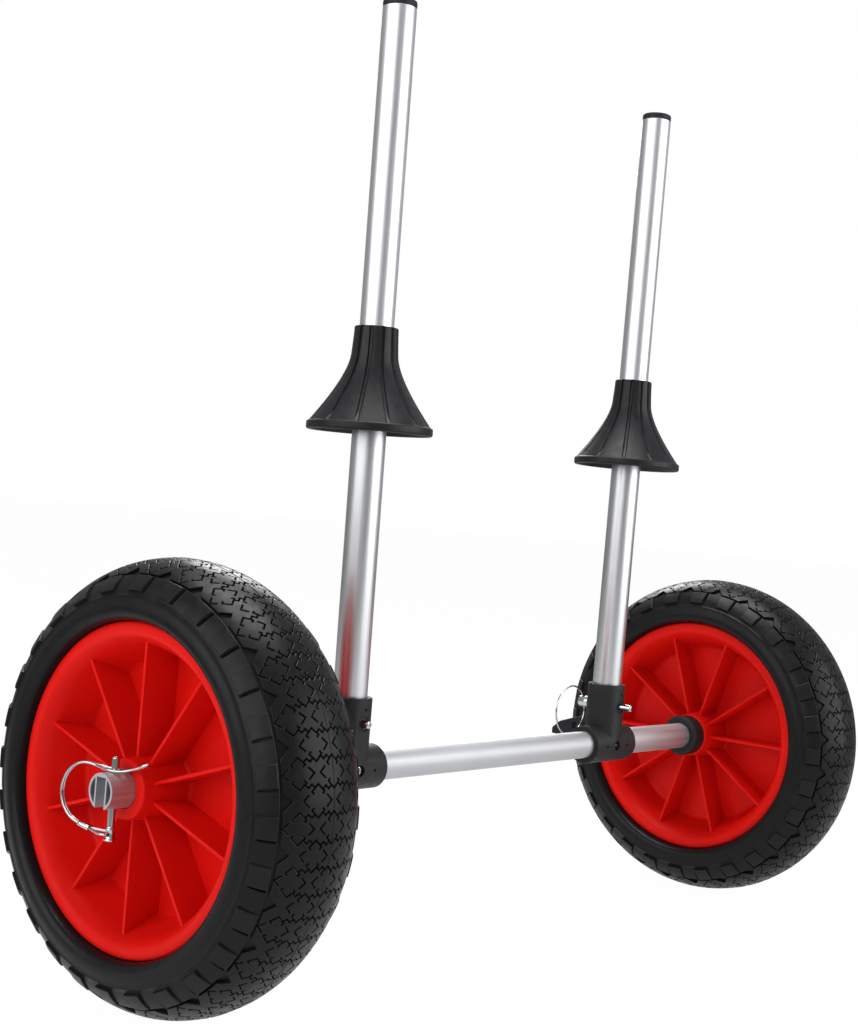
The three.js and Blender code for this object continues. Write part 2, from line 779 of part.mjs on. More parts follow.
// Lock pins and bails, about the lock pin's axis. A bail is drawn in its own plane, as [across, beside,
// up], and then turned about the pin.

const lockPinRadius = lockPinDiameter / 2;
const lockPinHeadRadius = lockPinHeadDiameter / 2;
const lockPinHeadTop = -axleRadius - lockPinSlack;
const bailPivotHeight = lockPinHeadTop - lockPinHeadHeight / 2;
const bailWireRadius = bailWireDiameter / 2;
const bailCrossing = axleRadius + bailWireRadius + seatGap;
const bailArcCentre = new THREE.Vector2(
  bailArcRadius - bailReach,
  bailCrossing + bailWireDiameter - bailArcRadius,
);

function lockPinGeometry() {
  const bottom = lockPinHeadTop - lockPinHeadHeight;
  const tip = axleRadius + lockPinProjection;
  const pin = revolve(
    [
      [0, bottom],
      [lockPinHeadRadius - lockPinChamfer, bottom],
      [lockPinHeadRadius, bottom + lockPinChamfer],
      [lockPinHeadRadius, lockPinHeadTop - lockPinChamfer],
      [lockPinRadius, lockPinHeadTop],
      [lockPinRadius, tip - lockPinChamfer],
      [lockPinRadius - lockPinChamfer, tip],
      [0, tip],
    ],
    'z',
    smallSides,
  );
  const across = lockPinHeadRadius + cutOverrun;
  const hole = bar(bailHoleDiameter / 2, -across, across, 'y', smallSides);
  hole.translate(0, 0, bailPivotHeight);
  hole.rotateZ(bailTurnDegrees * degrees);
  return geometryOf(solidOf(pin).subtract(solidOf(hole)));
}

// The straight stretch of the bail that the ferrule holds
function ferruleStretch() {
  const angle = bailArcEndDegrees * degrees;
  const heading = new THREE.Vector2(Math.cos(angle), Math.sin(angle));
  const start = heading.multiplyScalar(bailArcRadius).add(bailArcCentre);
  const target = new THREE.Vector2(-lockPinHeadRadius, bailPivotHeight - bailWireDiameter);
  const along = target.sub(start).normalize();
  return { start, along, end: start.clone().addScaledVector(along, ferruleLength) };
}

function bailGeometry() {
  const straddle = lockPinRadius + bailPinGap + bailWireRadius;
  const inFerrule = (ferruleWireGap + bailWireDiameter) / 2;
  const besideHead = lockPinHeadRadius + bailHeadGap + bailWireRadius;
  const { start, end } = ferruleStretch();
  const half = [];
  const put = (across, beside, up) => half.push([across, beside, up]);
  // the hairpin's end, a half turn between the two wires
  const endBend = straddle * hairpinShare;
  const tailEnd = bailTailLength - endBend;
  for (let i = 0; i < bendSteps; i += 1) {
    const angle = (turn / 4) * ((i + 1 / 2) / bendSteps);
    const across = tailEnd + endBend * Math.cos(angle);
    put(across, endBend * Math.sin(angle), bailCrossing + bailTailRise * (across / bailTailLength));
  }
  tailShares.forEach(([reachShare, riseShare]) => {
    put(bailTailLength * reachShare, straddle, bailCrossing + bailTailRise * riseShare);
  });
  put(-straddle, straddle, bailCrossing);
  // round the far side of the loop, where the wires close up towards the ferrule
  for (let i = 0; i <= arcSteps; i += 1) {
    const share = i / arcSteps;
    const angle = (bailArcStartDegrees + (bailArcEndDegrees - bailArcStartDegrees) * share) * degrees;
    put(
      bailArcCentre.x + bailArcRadius * Math.cos(angle),
      straddle + (inFerrule - straddle) * share,
      bailArcCentre.y + bailArcRadius * Math.sin(angle),
    );
  }
  put(end.x, inFerrule, end.y);
  // out round the head and in through its cross hole
  put((end.x - besideHead) / 2, (inFerrule + besideHead) / 2, (end.y + bailPivotHeight) / 2);
  put(-besideHead, besideHead, bailPivotHeight);
  for (let i = 0; i <= bendSteps; i += 1) {
    const angle = (turn / 4) * (i / bendSteps);
    const [out, inward] = [Math.sin(angle), Math.cos(angle)];
    put(bailBendRadius * (out - 1), besideHead - bailBendRadius * (1 - inward), bailPivotHeight);
  }
  const loop = [...half, ...half.map(([across, beside, up]) => [across, -beside, up]).reverse()];
  const points = loop.map(([across, beside, up]) => new THREE.Vector3(across, beside, up));
  const g = wire(points, bailWireDiameter, true);
  g.rotateZ(bailTurnDegrees * degrees);
  return g;
}

function ferruleGeometry() {
  const { start, along } = ferruleStretch();
  const wireOffset = (ferruleWireGap + bailWireDiameter) / 2;
  const slot = bailWireRadius + seatGap;
  const trace = (path, radius) => {
    path.absarc(wireOffset, 0, radius, -turn / 4, turn / 4, false);
    path.absarc(-wireOffset, 0, radius, turn / 4, (3 * turn) / 4, false);
    path.closePath();
    return path;
  };
  const section = trace(new THREE.Shape(), slot + ferruleWall);
  section.holes.push(trace(new THREE.Path(), slot));
  const g = new THREE.ExtrudeGeometry(section, {
    depth: ferruleLength,
    bevelEnabled: false,
    curveSegments: wireSides,
  });
  // the section's long way lies beside the bail's plane and its depth along the wires
  g.rotateZ(turn / 4);
  g.rotateY(Math.atan2(along.x, along.y));
  g.translate(start.x, 0, start.y);
  g.rotateZ(bailTurnDegrees * degrees);
  return g;
}

// Assembly: everything hangs on the axle's centre line, one tyre radius above the ground

const group = new THREE.Group();
const frame = new THREE.Group();
frame.position.z = tyreRadius;
group.add(frame);

frame.add(mesh('axle_tube', axleGeometry(), aluminium()));

postPlaces.forEach(({ side, x, lean, drawn }) => {
  const station = new THREE.Group();
  station.position.x = x;
  frame.add(station);
  station.add(mesh(`t_joint_${side}`, teeGeometry(), blackPlastic()));
  station.add(mesh(`t_joint_screw_${side}`, screwGeometry(), chrome()));

  // the post, its cap and its cone lean together about the pin
  const upright = new THREE.Group();
  upright.position.z = pinHeight;
  upright.rotation.y = lean;
  station.add(upright);
  const post = mesh(`post_${side}`, postGeometry(), aluminium());
  post.position.z = -pinHeight;
  upright.add(post);
  const cap = mesh(`post_cap_${side}`, capGeometry(), blackPlastic());
  cap.position.z = -pinHeight;
  upright.add(cap);
  const cone = mesh(`cone_${side}`, coneGeometry(), coneRubber());
  cone.position.z = socketMouth + coneRise - pinHeight;
  upright.add(cone);

  const pin = new THREE.Group();
  pin.position.set(0, drawn, pinHeight);
  station.add(pin);
  pin.add(mesh(`detent_pin_${side}`, detentPinGeometry(), chrome()));
  pin.add(mesh(`detent_ball_${side}`, ballGeometry(), chrome()));
  pin.add(mesh(`detent_spring_${side}`, springGeometry(), chrome()));
  pin.add(mesh(`pull_ring_${side}`, pullRingGeometry(), chrome()));
});

wheelPlaces.forEach(({ side, sign }) => {
  const wheel = new THREE.Group();
  wheel.position.x = sign * wheelX;
  frame.add(wheel);
  wheel.add(mesh(`rim_${side}`, rimGeometry(), redPlastic()));
  wheel.add(mesh(`tyre_${side}`, tyreGeometry(), tyreFoam()));

  // the right end of the axle is the left end turned half round about the upright
  const end = new THREE.Group();
  end.rotation.z = sign > 0 ? turn / 2 : 0;
  frame.add(end);
  const collar = mesh(`spacer_collar_${side}`, collarGeometry(), blackPlastic());
  collar.position.x = hubLength / 2 + seatGap - wheelX;
  end.add(collar);
  const lock = new THREE.Group();
  lock.position.x = -lockPinX;
  end.add(lock);
  lock.add(mesh(`lock_pin_${side}`, lockPinGeometry(), chrome()));
  lock.add(mesh(`bail_${side}`, bailGeometry(), chrome()));
  lock.add(mesh(`bail_ferrule_${side}`, ferruleGeometry(), chrome()));
});

export default group;
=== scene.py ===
# Looks of a scupper kayak cart. Every piece is modelled about its own axis, in millimetres times MM, and
# then moved to the place that the frame gives it. +X runs along the axle and +Z up. The pull rings and
# the strap eyes are on the +Y side.
import json
import math

import bmesh
import bpy
from mathutils import Matrix, Vector


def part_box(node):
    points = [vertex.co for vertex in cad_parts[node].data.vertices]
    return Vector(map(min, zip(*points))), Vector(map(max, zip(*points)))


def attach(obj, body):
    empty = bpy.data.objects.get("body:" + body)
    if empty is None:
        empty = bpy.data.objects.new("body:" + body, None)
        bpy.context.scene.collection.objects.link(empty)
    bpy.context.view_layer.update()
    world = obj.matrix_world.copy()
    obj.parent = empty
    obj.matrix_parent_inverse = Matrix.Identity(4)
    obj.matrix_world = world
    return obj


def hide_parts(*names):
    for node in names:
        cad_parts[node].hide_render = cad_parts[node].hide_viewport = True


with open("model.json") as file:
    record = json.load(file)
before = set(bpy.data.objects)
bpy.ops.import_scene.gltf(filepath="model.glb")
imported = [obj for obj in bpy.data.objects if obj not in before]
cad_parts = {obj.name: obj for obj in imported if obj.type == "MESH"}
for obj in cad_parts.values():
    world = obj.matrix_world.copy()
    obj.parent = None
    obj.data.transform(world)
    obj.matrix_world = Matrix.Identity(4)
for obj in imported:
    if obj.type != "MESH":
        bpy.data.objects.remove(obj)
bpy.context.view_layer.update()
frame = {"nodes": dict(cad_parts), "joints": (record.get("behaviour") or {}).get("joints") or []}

MM = 0.001
TURN = 2 * math.pi
SIDES = ("left", "right")

# How shapes are made

MERGE = 0.00002  # metres: corners closer than this are one corner
NEAR = 0.00001  # how near to a cutting plane a corner counts as on it
CREASE = math.radians(32)  # edges that turn more than this stay sharp
CORNER_SHARE = 0.48  # of an edge: the most that the rounding at one of its ends takes
CORNER_STEPS = 4  # in the rounding of an outline's corner
SOFT_STEPS = 2  # in the rounding of an edge
ROUND_STEPS = 96  # of a turned piece
WIRE_STEPS = 6  # between two points of a wire
WIRE_QUARTER_STEPS = 4  # in a quarter of its round section
OVERRUN = 2  # millimetres that a cutting tool runs past the face that it leaves

AXIS_TURNS = {
    "x": Matrix.Rotation(TURN / 4, 4, "Y"),
    "y": Matrix.Rotation(-TURN / 4, 4, "X"),
    "z": Matrix.Identity(4),
}
# what is drawn across and up, with a depth, goes to the axes (Y, Z, X) or (Z, X, Y)
DEPTH_TO_X = Matrix(((0, 0, 1, 0), (1, 0, 0, 0), (0, 1, 0, 0), (0, 0, 0, 1)))
ACROSS_TO_Z = Matrix(((0, 1, 0, 0), (0, 0, 1, 0), (1, 0, 0, 0), (0, 0, 0, 1)))


def rounded(outline, closed=False):
    """Turns (across, up, rounding) corners, all in millimetres, into points with small arcs."""
    count = len(outline)
    points = []
    for i, (across, up, rounding) in enumerate(outline):
        here = Vector((across, up))
        is_end = not closed and i in (0, count - 1)
        if is_end or not rounding:
            points.append(here * MM)
            continue
        before = Vector(outline[i - 1][:2]) - here
        after = Vector(outline[(i + 1) % count][:2]) - here
        start = here + before.normalized() * min(rounding, before.length * CORNER_SHARE)
        end = here + after.normalized() * min(rounding, after.length * CORNER_SHARE)
        points += [p * MM for p in bend(start, here, end, CORNER_STEPS)]
    return points


def bend(start, corner, end, steps):
    """Points of a smooth bend between two places, drawn towards a corner."""
    points = []
    for k in range(steps + 1):
        t = k / steps
        points.append(start * (1 - t) ** 2 + corner * (2 * t * (1 - t)) + end * t * t)
    return points


def everything(bm):
    return bm.verts[:] + bm.edges[:] + bm.faces[:]


def fresh_corners(grown):
    """The new corners among what an extrusion gives back."""
    return [part for part in grown if isinstance(part, bmesh.types.BMVert)]


def tidied(bm):
    """Joins corners that coincide and turns every face outwards."""
    bmesh.ops.remove_doubles(bm, verts=bm.verts, dist=MERGE)
    bmesh.ops.recalc_face_normals(bm, faces=bm.faces)
    return bm


def turned(outline, axis="z", steps=ROUND_STEPS, closed=False):
    """A turned piece from (radius, height, rounding) corners, in millimetres."""
    points = rounded(outline, closed=closed)
    bm = bmesh.new()
    corners = [bm.verts.new((p.x, 0, p.y)) for p in points]
    edges = [bm.edges.new(pair) for pair in zip(corners, corners[1:])]
    if closed:
        edges.append(bm.edges.new((corners[-1], corners[0])))
    bmesh.ops.spin(
        bm, geom=corners + edges, cent=(0, 0, 0), axis=(0, 0, 1), angle=TURN, steps=steps, use_merge=True
    )
    tidied(bm)
    bmesh.ops.transform(bm, matrix=AXIS_TURNS[axis], verts=bm.verts)
    return bm


def rod(radius, start, end, axis, steps, edge=0):
    """A round bar between two heights along its axis."""
    return turned([(0, start, 0), (radius, start, edge), (radius, end, edge), (0, end, 0)], axis, steps)


def slab(points, thickness, edge=0.0):
    """A flat outline of (x, y) points in metres, made a plate of that thickness about z = 0."""
    bm = bmesh.new()
    face = bm.faces.new([bm.verts.new((p[0], p[1], -thickness / 2)) for p in points])
    grown = bmesh.ops.extrude_face_region(bm, geom=[face], use_keep_orig=True)["geom"]
    bmesh.ops.translate(bm, verts=fresh_corners(grown), vec=(0, 0, thickness))
    bmesh.ops.recalc_face_normals(bm, faces=bm.faces)
    if edge:
        soften(bm, edge)
    return bm


def soften(bm, width, sharper_than=CREASE):
    """Rounds every edge that turns more than an angle."""
    edges = [e for e in bm.edges if len(e.link_faces) == 2 and e.calc_face_angle(0) > sharper_than]
    bmesh.ops.bevel(
        bm, geom=edges, offset=width, segments=SOFT_STEPS, profile=0.5, affect="EDGES", material=-1,
        clamp_overlap=True,
    )


def repeated(bm, count):
    """Copies a shape round the X axis, so that there are this many of it."""
    bmesh.ops.spin(
        bm, geom=everything(bm), cent=(0, 0, 0), axis=(1, 0, 0), angle=TURN * (count - 1) / count,
        steps=count - 1, use_duplicate=True,
    )


def joined(whole, part):
    """Two finished shapes in one mesh."""
    scrap = bpy.data.meshes.new("scrap")
    part.to_mesh(scrap)
    part.free()
    whole.from_mesh(scrap)
    bpy.data.meshes.remove(scrap)
    return whole


def moved(bm, offset=(0, 0, 0), turn=None):
    """Turns a shape about the origin and then moves it."""
    if turn is not None:
        bmesh.ops.transform(bm, matrix=turn, verts=bm.verts)
    bmesh.ops.translate(bm, verts=bm.verts, vec=Vector(offset))
    return bm


def shown_mesh(thing):
    """The mesh of an object with its modifiers or its bevel, as a shape."""
    evaluated = thing.evaluated_get(bpy.context.evaluated_depsgraph_get())
    bm = bmesh.new()
    bm.from_mesh(evaluated.to_mesh())
    evaluated.to_mesh_clear()
    return bm


def solved(bm, tool, operation):
    """The first shape with the second one cut from it, or joined to it."""
    objects = []
    for shape in (bm, tool):
        mesh = bpy.data.meshes.new("scrap")
        shape.to_mesh(mesh)
        shape.free()
        scrap = bpy.data.objects.new("scrap", mesh)
        bpy.context.scene.collection.objects.link(scrap)
        objects.append(scrap)
    work, other = objects
    modifier = work.modifiers.new("solve", "BOOLEAN")
    modifier.operation = operation
    modifier.solver = "EXACT"
    modifier.object = other
    result = shown_mesh(work)
    for scrap in objects:
        mesh = scrap.data
        bpy.data.objects.remove(scrap)
        bpy.data.meshes.remove(mesh)
    return result


def cut(bm, tool):
    return solved(bm, tool, "DIFFERENCE")


def united(bm, tool):
    return solved(bm, tool, "UNION")


def wire(points, radius):
    """A round wire along a smooth closed line through the points."""
    curve = bpy.data.curves.new("scrap", "CURVE")
    curve.dimensions = "3D"
    curve.bevel_depth = radius
    curve.bevel_resolution = WIRE_QUARTER_STEPS
    curve.resolution_u = WIRE_STEPS
    curve.use_fill_caps = False
    spline = curve.splines.new("BEZIER")
    spline.bezier_points.add(len(points) - 1)
    for knot, point in zip(spline.bezier_points, points):
        knot.co = point
        knot.handle_left_type = knot.handle_right_type = "AUTO"
    spline.use_cyclic_u = True
    scrap = bpy.data.objects.new("scrap", curve)
    bpy.context.scene.collection.objects.link(scrap)
    bm = shown_mesh(scrap)
    bpy.data.objects.remove(scrap)
    bpy.data.curves.remove(curve)
    return tidied(bm)


def piece(node, bm, place, body, slot, finish=None):
    """Puts a shape in its place, gives it its finish and lets it stand for its node."""
    bmesh.ops.translate(bm, verts=bm.verts, vec=Vector(place))
    for face in bm.faces:
        face.smooth = True
    for edge in bm.edges:
        edge.smooth = len(edge.link_faces) == 2 and edge.calc_face_angle(0) < CREASE
    mesh = bpy.data.meshes.new("fine_" + node)
    bm.to_mesh(mesh)
    bm.free()
    mesh.materials.append(finish or FINISHES[slot])
    shown = bpy.data.objects.new("fine_" + node, mesh)
    bpy.context.scene.collection.objects.link(shown)
    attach(shown, body)
    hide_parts(node)


# Finishes

# the darkest and the palest colour of each one
FOAM_SKIN = ((0.0035, 0.0036, 0.004), (0.0065, 0.0067, 0.0073))
# the pads are paler than the skin: painted light on the raised pads, beside their coarse texture
FOAM_PADS_WITH_PAINTED_LIGHT = ((0.005, 0.0052, 0.0057), (0.0095, 0.0098, 0.0106))
RED = ((0.58, 0.005, 0.003), (0.66, 0.007, 0.004))
CHARCOAL = ((0.01, 0.0104, 0.0115), (0.017, 0.0175, 0.019))
SOFT_BLACK = ((0.005, 0.0052, 0.0062), (0.01, 0.0104, 0.012))
POST_METAL = ((0.60, 0.61, 0.63), (0.68, 0.69, 0.71))
AXLE_METAL = ((0.5, 0.51, 0.53), (0.58, 0.59, 0.61))
PLATING = ((0.52, 0.53, 0.55), (0.64, 0.65, 0.66))
NOISE_ROUGHNESS = 0.55
MIX_COLOURS = (6, 7)  # the sockets of a mix node that take and give colours
MIX_RESULT = 2
DRAWN_SHARE = 0.012  # the width of the fine lines along a drawn tube over their length


def feed(tree, source, socket):
    """Gives a socket a value, or the output of another node."""
    if isinstance(source, bpy.types.NodeSocket):
        tree.links.new(source, socket)
    else:
        socket.default_value = source


def lay(tree, kind, links=None, **settings):
    """Lays a node, whose sockets get values or the outputs of other nodes."""
    node = tree.nodes.new(kind)
    for name, value in settings.items():
        setattr(node, name, value)
    for socket, source in (links or {}).items():
        feed(tree, source, node.inputs[socket])
    return node


class Finish:
    """A material whose nodes are laid one after the other."""

    def __init__(self, name, **values):
        self.material = bpy.data.materials.new(name)
        self.material.use_nodes = True
        self.tree = self.material.node_tree
        self.shader = self.tree.nodes["Principled BSDF"]
        for socket, value in values.items():
            self.shader.inputs[socket.replace("_", " ")].default_value = value
        self.place = self.add("ShaderNodeTexCoord").outputs["Object"]

    def add(self, kind, links=None, **settings):
        return lay(self.tree, kind, links, **settings)

    def noise(self, scale, detail=3.0, stretch=(1, 1, 1)):
        mapped = self.add("ShaderNodeMapping", {"Vector": self.place, "Scale": stretch})
        links = {"Vector": mapped.outputs[0], "Scale": scale, "Detail": detail, "Roughness": NOISE_ROUGHNESS}
        return self.add("ShaderNodeTexNoise", links).outputs["Fac"]

    def ramp(self, value, low, high, start=0.3, end=0.7):
        """Spreads the middle of a noise over a range."""
        links = {"Value": value, "From Min": start, "From Max": end, "To Min": low, "To Max": high}
        return self.add("ShaderNodeMapRange", links).outputs[0]

    def blend(self, factor, first, second):
        """A mix of two colours, or of two colour outputs."""
        links = {"Factor": factor}
        for socket, colour in zip(MIX_COLOURS, (first, second)):
            links[socket] = (*colour, 1) if isinstance(colour, tuple) else colour
        return self.add("ShaderNodeMix", links, data_type="RGBA").outputs[MIX_RESULT]

    def to(self, socket, source):
        self.tree.links.new(source, self.shader.inputs[socket])

    def bump(self, height, distance, strength=1.0):
        """Adds a relief of so many millimetres to those that the finish has."""
        links = {"Height": height, "Distance": distance * MM, "Strength": strength}
        if self.shader.inputs["Normal"].is_linked:
            links["Normal"] = self.shader.inputs["Normal"].links[0].from_socket
        self.to("Normal", self.add("ShaderNodeBump", links).outputs[0])


def tyre_finish():
    foam = Finish("tyre_foam", Roughness=0.4, Specular_IOR_Level=0.17)
    skin = foam.blend(foam.noise(38, 4), *FOAM_SKIN)
    # the raised pads of the shoulder are left coarse by the mould, and are painted paler than the skin:
    # painted light that they catch from above
    coarse_with_painted_light = foam.add("ShaderNodeAttribute", attribute_name="coarse_with_painted_light").outputs["Fac"]
    pad = foam.blend(foam.noise(420, 4), *FOAM_PADS_WITH_PAINTED_LIGHT)
    foam.to("Base Color", foam.blend(coarse_with_painted_light, skin, pad))
    foam.to("Roughness", foam.ramp(foam.noise(160), 0.28, 0.44, end=0.75))
    foam.bump(foam.noise(1400, 4), 0.05, 0.5)
    foam.bump(foam.noise(130, 2), 0.25, 0.4)
    return foam.material


def rim_finish():
    red = Finish("red_plastic", Roughness=0.38, Specular_IOR_Level=0.08)
    red.to("Base Color", red.blend(red.noise(14, 2), *RED))
    red.to("Roughness", red.ramp(red.noise(90, 4), 0.33, 0.46))
    red.bump(red.noise(900), 0.03, 0.5)
    red.bump(red.noise(22, 2), 0.4, 0.35)
    return red.material


def moulding_finish():
    black = Finish("black_plastic", Roughness=0.48, Specular_IOR_Level=0.19)
    black.to("Base Color", black.blend(black.noise(60), *CHARCOAL))
    black.to("Roughness", black.ramp(black.noise(220), 0.4, 0.56))
    black.bump(black.noise(1600, 4), 0.06, 0.6)
    return black.material


def cone_finish():
    rubber = Finish("cone_rubber", Roughness=0.42, Specular_IOR_Level=0.26)
    rubber.to("Base Color", rubber.blend(rubber.noise(45), *SOFT_BLACK))
    rubber.to("Roughness", rubber.ramp(rubber.noise(170), 0.34, 0.5))
    rubber.bump(rubber.noise(1200, 4), 0.06, 0.6)
    return rubber.material


def post_finish():
    metal = Finish("post_aluminium", Metallic=1.0, Roughness=0.36)
    drawn = metal.noise(900, stretch=(1, 1, DRAWN_SHARE))
    metal.to("Base Color", metal.blend(metal.noise(30), *POST_METAL))
    metal.to("Roughness", metal.ramp(drawn, 0.3, 0.42))
    metal.bump(drawn, 0.02, 0.25)
    return metal.material


def axle_finish():
    metal = Finish("axle_aluminium", Metallic=1.0, Roughness=0.55)
    drawn = metal.noise(700, stretch=(DRAWN_SHARE, 1, 1))
    metal.to("Base Color", metal.blend(metal.noise(26), *AXLE_METAL))
    metal.to("Roughness", metal.ramp(drawn, 0.48, 0.6))
    metal.bump(drawn, 0.02, 0.3)
    return metal.material


def chrome_finish():
    chrome = Finish("chrome", Metallic=1.0, Roughness=0.1)
    chrome.to("Base Color", chrome.blend(chrome.noise(80, 2), *PLATING))
    chrome.to("Roughness", chrome.ramp(chrome.noise(260), 0.04, 0.11, start=0.35))
    return chrome.material


FINISHES = {
    "tyre_foam": tyre_finish(),
    "red_plastic": rim_finish(),
    "black_plastic": moulding_finish(),
    "cone_rubber": cone_finish(),
    "aluminium": post_finish(),
    "chrome": chrome_finish(),
}

# Places, from the frame, in metres


def middle(node):
    low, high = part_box(node)
    return (low + high) / 2


PIN_HEIGHT = 34.4  # of the detent pins above the axle, in millimetres
AXLE_HEIGHT = middle("tyre_left").z
WHEELS = {side: Vector((middle(f"tyre_{side}").x, 0, AXLE_HEIGHT)) for side in SIDES}
TEES = {side: Vector((middle(f"t_joint_screw_{side}").x, 0, AXLE_HEIGHT)) for side in SIDES}


def joint(name):
    return next(j for j in frame["joints"] if j["name"] == name)


def leaning(bm, side, height):
    """Stands a shape at a height above the axle on a post, which leans about its pin."""
    lean = Vector((0, 0, 1)).rotation_difference(Vector(joint(f"cone_{side}_slide")["axis"]))
    moved(bm, (0, 0, (height - PIN_HEIGHT) * MM))
    return moved(bm, TEES[side] + Vector((0, 0, PIN_HEIGHT * MM)), lean.to_matrix().to_4x4())


# Tyres

TYRE_RADIUS = 149.04
TYRE_HALF_WIDTH = 45.4
OVAL_RADIUS = 109.3  # of the ring that the section's oval is drawn about
OVAL_POWER = 2.12
OVAL_STEPS = 240
BEAD = (37.2, 107.6)
SIDEWALL_END = 116  # radius where the oval turns in to the bead
SIDEWALL_CORNER = (TYRE_HALF_WIDTH + 0.4, BEAD[1] + 0.6)  # that the turn is drawn towards
SIDEWALL_STEPS = 24
SIDEWALL_ROWS = 7
PITCHES = 28
CELL = 2.227  # the tread is drawn on a diagonal grid: 15 cells to a pitch, 11 to two rows of blocks
PITCH_CELLS = 15
SPARE_CELLS = 4.5  # that a pitch is wider on each side until its grooves are cut
BLOCK = 4  # cells from a block's middle to its edges
ROW = (13, -2)  # from a block to its neighbour in the next row, in cells along both diagonals
CROWN_CELLS = 15.5
CHANNEL_CELLS = 16.6  # the channel between the blocks and the shoulder ends here
PAD_ROWS = (CHANNEL_CELLS + 2, CHANNEL_CELLS + 4)
LUG_CELLS = 22.5
OUTER_ROWS = 2
SIPE = ((5, -2), (6, -2), (6, -1), (6, 0), (7, 0))  # cells of the stepped cut between two blocks
TIE = (0, 4)  # the cell where a thin tie crosses the groove along a block's edge
NOTCH = (-1, 3)  # the cell beside it that is cut from the block
ON_ROW = 0.1  # how near to a row a corner counts as one of it
TREAD_DEPTH = 2.3
GROOVE_DRAFT = 0.2
EDGE_WEAR = 0.34  # the chamfer that wear leaves round every block
WEAR_SLOPE_SHARE = 0.7  # the height of that chamfer over its width
LUG_PLACE = -3.5  # cells from a pitch's middle to the raised pad
LUG_LENGTH = 7
LUG_HEIGHT = 0.9
LUG_RISE = 1.0  # more at its foot, so that a raised pad faces outwards more than the skin does
SLIT_PLACE = 14
SLIT_DEPTH = 2.0
SLIT_NARROWING_SHARE = 0.4
PARTING_HEIGHT = 0.25
PARTING_HALF = 0.3
BEAD_LINE = (52.2, 53.0, 53.8)
BEAD_LINE_HEIGHT = 0.5
# turns the grid, so that its rows run along the diagonals of the laid-out pitch
DIAGONAL = Matrix(((0.5, -0.5, 0, 0), (0.5, 0.5, 0, 0), (0, 0, 1, 0), (0, 0, 0, 1)))


def section_points():
    """The outside of half the tyre's section as (x, radius), from the crown to the bead."""
    reach = TYRE_RADIUS - OVAL_RADIUS
    points = []
    for k in range(OVAL_STEPS + 1):
        angle = TURN / 4 * k / OVAL_STEPS
        x = TYRE_HALF_WIDTH * math.sin(angle) ** (2 / OVAL_POWER)
        radius = OVAL_RADIUS + reach * math.cos(angle) ** (2 / OVAL_POWER)
        if radius < SIDEWALL_END:
            break
        points.append(Vector((x, radius)))
    return points + bend(points[-1], Vector(SIDEWALL_CORNER), Vector(BEAD), SIDEWALL_STEPS)[1:]


class Section:
    """Finds the place on the tyre's section at a distance from the crown's middle, along the skin."""

    def __init__(self):
        self.points = section_points()
        self.along = [0.0]
        for a, b in zip(self.points, self.points[1:]):
            self.along.append(self.along[-1] + (b - a).length)
        self.length = self.along[-1]

    def at(self, distance):
        """The place there, and the way that points out of the skin."""
        wanted = min(abs(distance), self.length)
        low, high = 0, len(self.along) - 1
        while high - low > 1:
            half = (low + high) // 2
            if self.along[half] <= wanted:
                low = half
            else:
                high = half
        a, b = self.points[low], self.points[high]
        share = (wanted - self.along[low]) / (self.along[high] - self.along[low])
        spot = a.lerp(b, share)
        direction = (b - a).normalized()
        out = Vector((-direction.y, direction.x))
        if distance < 0:
            return Vector((-spot.x, spot.y)), Vector((-out.x, out.y))
        return spot, out


SECTION = Section()


def is_groove(u, v):
    """Whether the cell whose low corner is (u, v) is cut away: round a block of the crown, in a stepped
    cut between two blocks, or in the low ground between the outermost blocks and the shoulder."""
    step, back = ROW
    size = step * step - back * back
    near_a = round((step * u - back * v) / size)
    near_b = round((step * v - back * u) / size)
    for a in range(near_a - 1, near_a + 2):
        for b in range(near_b - 1, near_b + 2):
            du = u - (step * a + back * b)
            dv = v - (back * a + step * b)
            # from the block's middle to the cell's
            edge = max(abs(du + 0.5), abs(dv + 0.5))
            if abs(a + b) > OUTER_ROWS:
                if edge < BLOCK:
                    return True
                continue
            ways = ((du, dv), (dv, du), (-1 - du, -1 - dv), (-1 - dv, -1 - du))
            if TIE in ways:
                return False
            if BLOCK < edge < BLOCK + 1 or NOTCH in ways or ways[0] in SIPE or ways[1] in SIPE:
                return True
    return False


def side_rows():
    """The rows of corners beyond the crown, in cells from its middle."""
    last = BEAD_LINE[-1]
    rows = [LUG_CELLS * CELL, *BEAD_LINE]
    rows += [last + (SECTION.length - last) * (k + 1) / SIDEWALL_ROWS for k in range(SIDEWALL_ROWS)]
    return [CHANNEL_CELLS, *PAD_ROWS, *(row / CELL for row in rows)]


def flat_pitch():
    """One pitch of the tread laid flat, a little wider than it has to be: x runs round, y across."""
    bm = bmesh.new()
    cells = 2 * math.ceil(CROWN_CELLS + PITCH_CELLS / 2 + SPARE_CELLS)
    bmesh.ops.create_grid(bm, x_segments=cells, y_segments=cells, size=cells / 2)
    bmesh.ops.transform(bm, matrix=DIAGONAL, verts=bm.verts)
    clip(bm, 1, CROWN_CELLS)
    clip(bm, 0, PITCH_CELLS / 2 + SPARE_CELLS)
    for sign in (-1, 1):
        last = CROWN_CELLS
        border = [e for e in bm.edges if all(abs(v.co.y - sign * last) < ON_ROW for v in e.verts)]
        for row in side_rows():
            grown = bmesh.ops.extrude_edge_only(bm, edges=border)["geom"]
            bmesh.ops.translate(bm, verts=fresh_corners(grown), vec=(0, sign * (row - last), 0))
            border = [part for part in grown if isinstance(part, bmesh.types.BMEdge)]
            last = row
    bm.normal_update()
    bmesh.ops.reverse_faces(bm, faces=[f for f in bm.faces if f.normal.z < 0])
    return bm


def clip(bm, axis, reach):
    """Cuts away what lies farther out than the reach, on both sides."""
    for sign in (-1, 1):
        normal = Vector((0, 0, 0))
        normal[axis] = sign
        bmesh.ops.bisect_plane(
            bm, geom=everything(bm), dist=NEAR, plane_co=normal * reach, plane_no=normal, clear_outer=True
        )


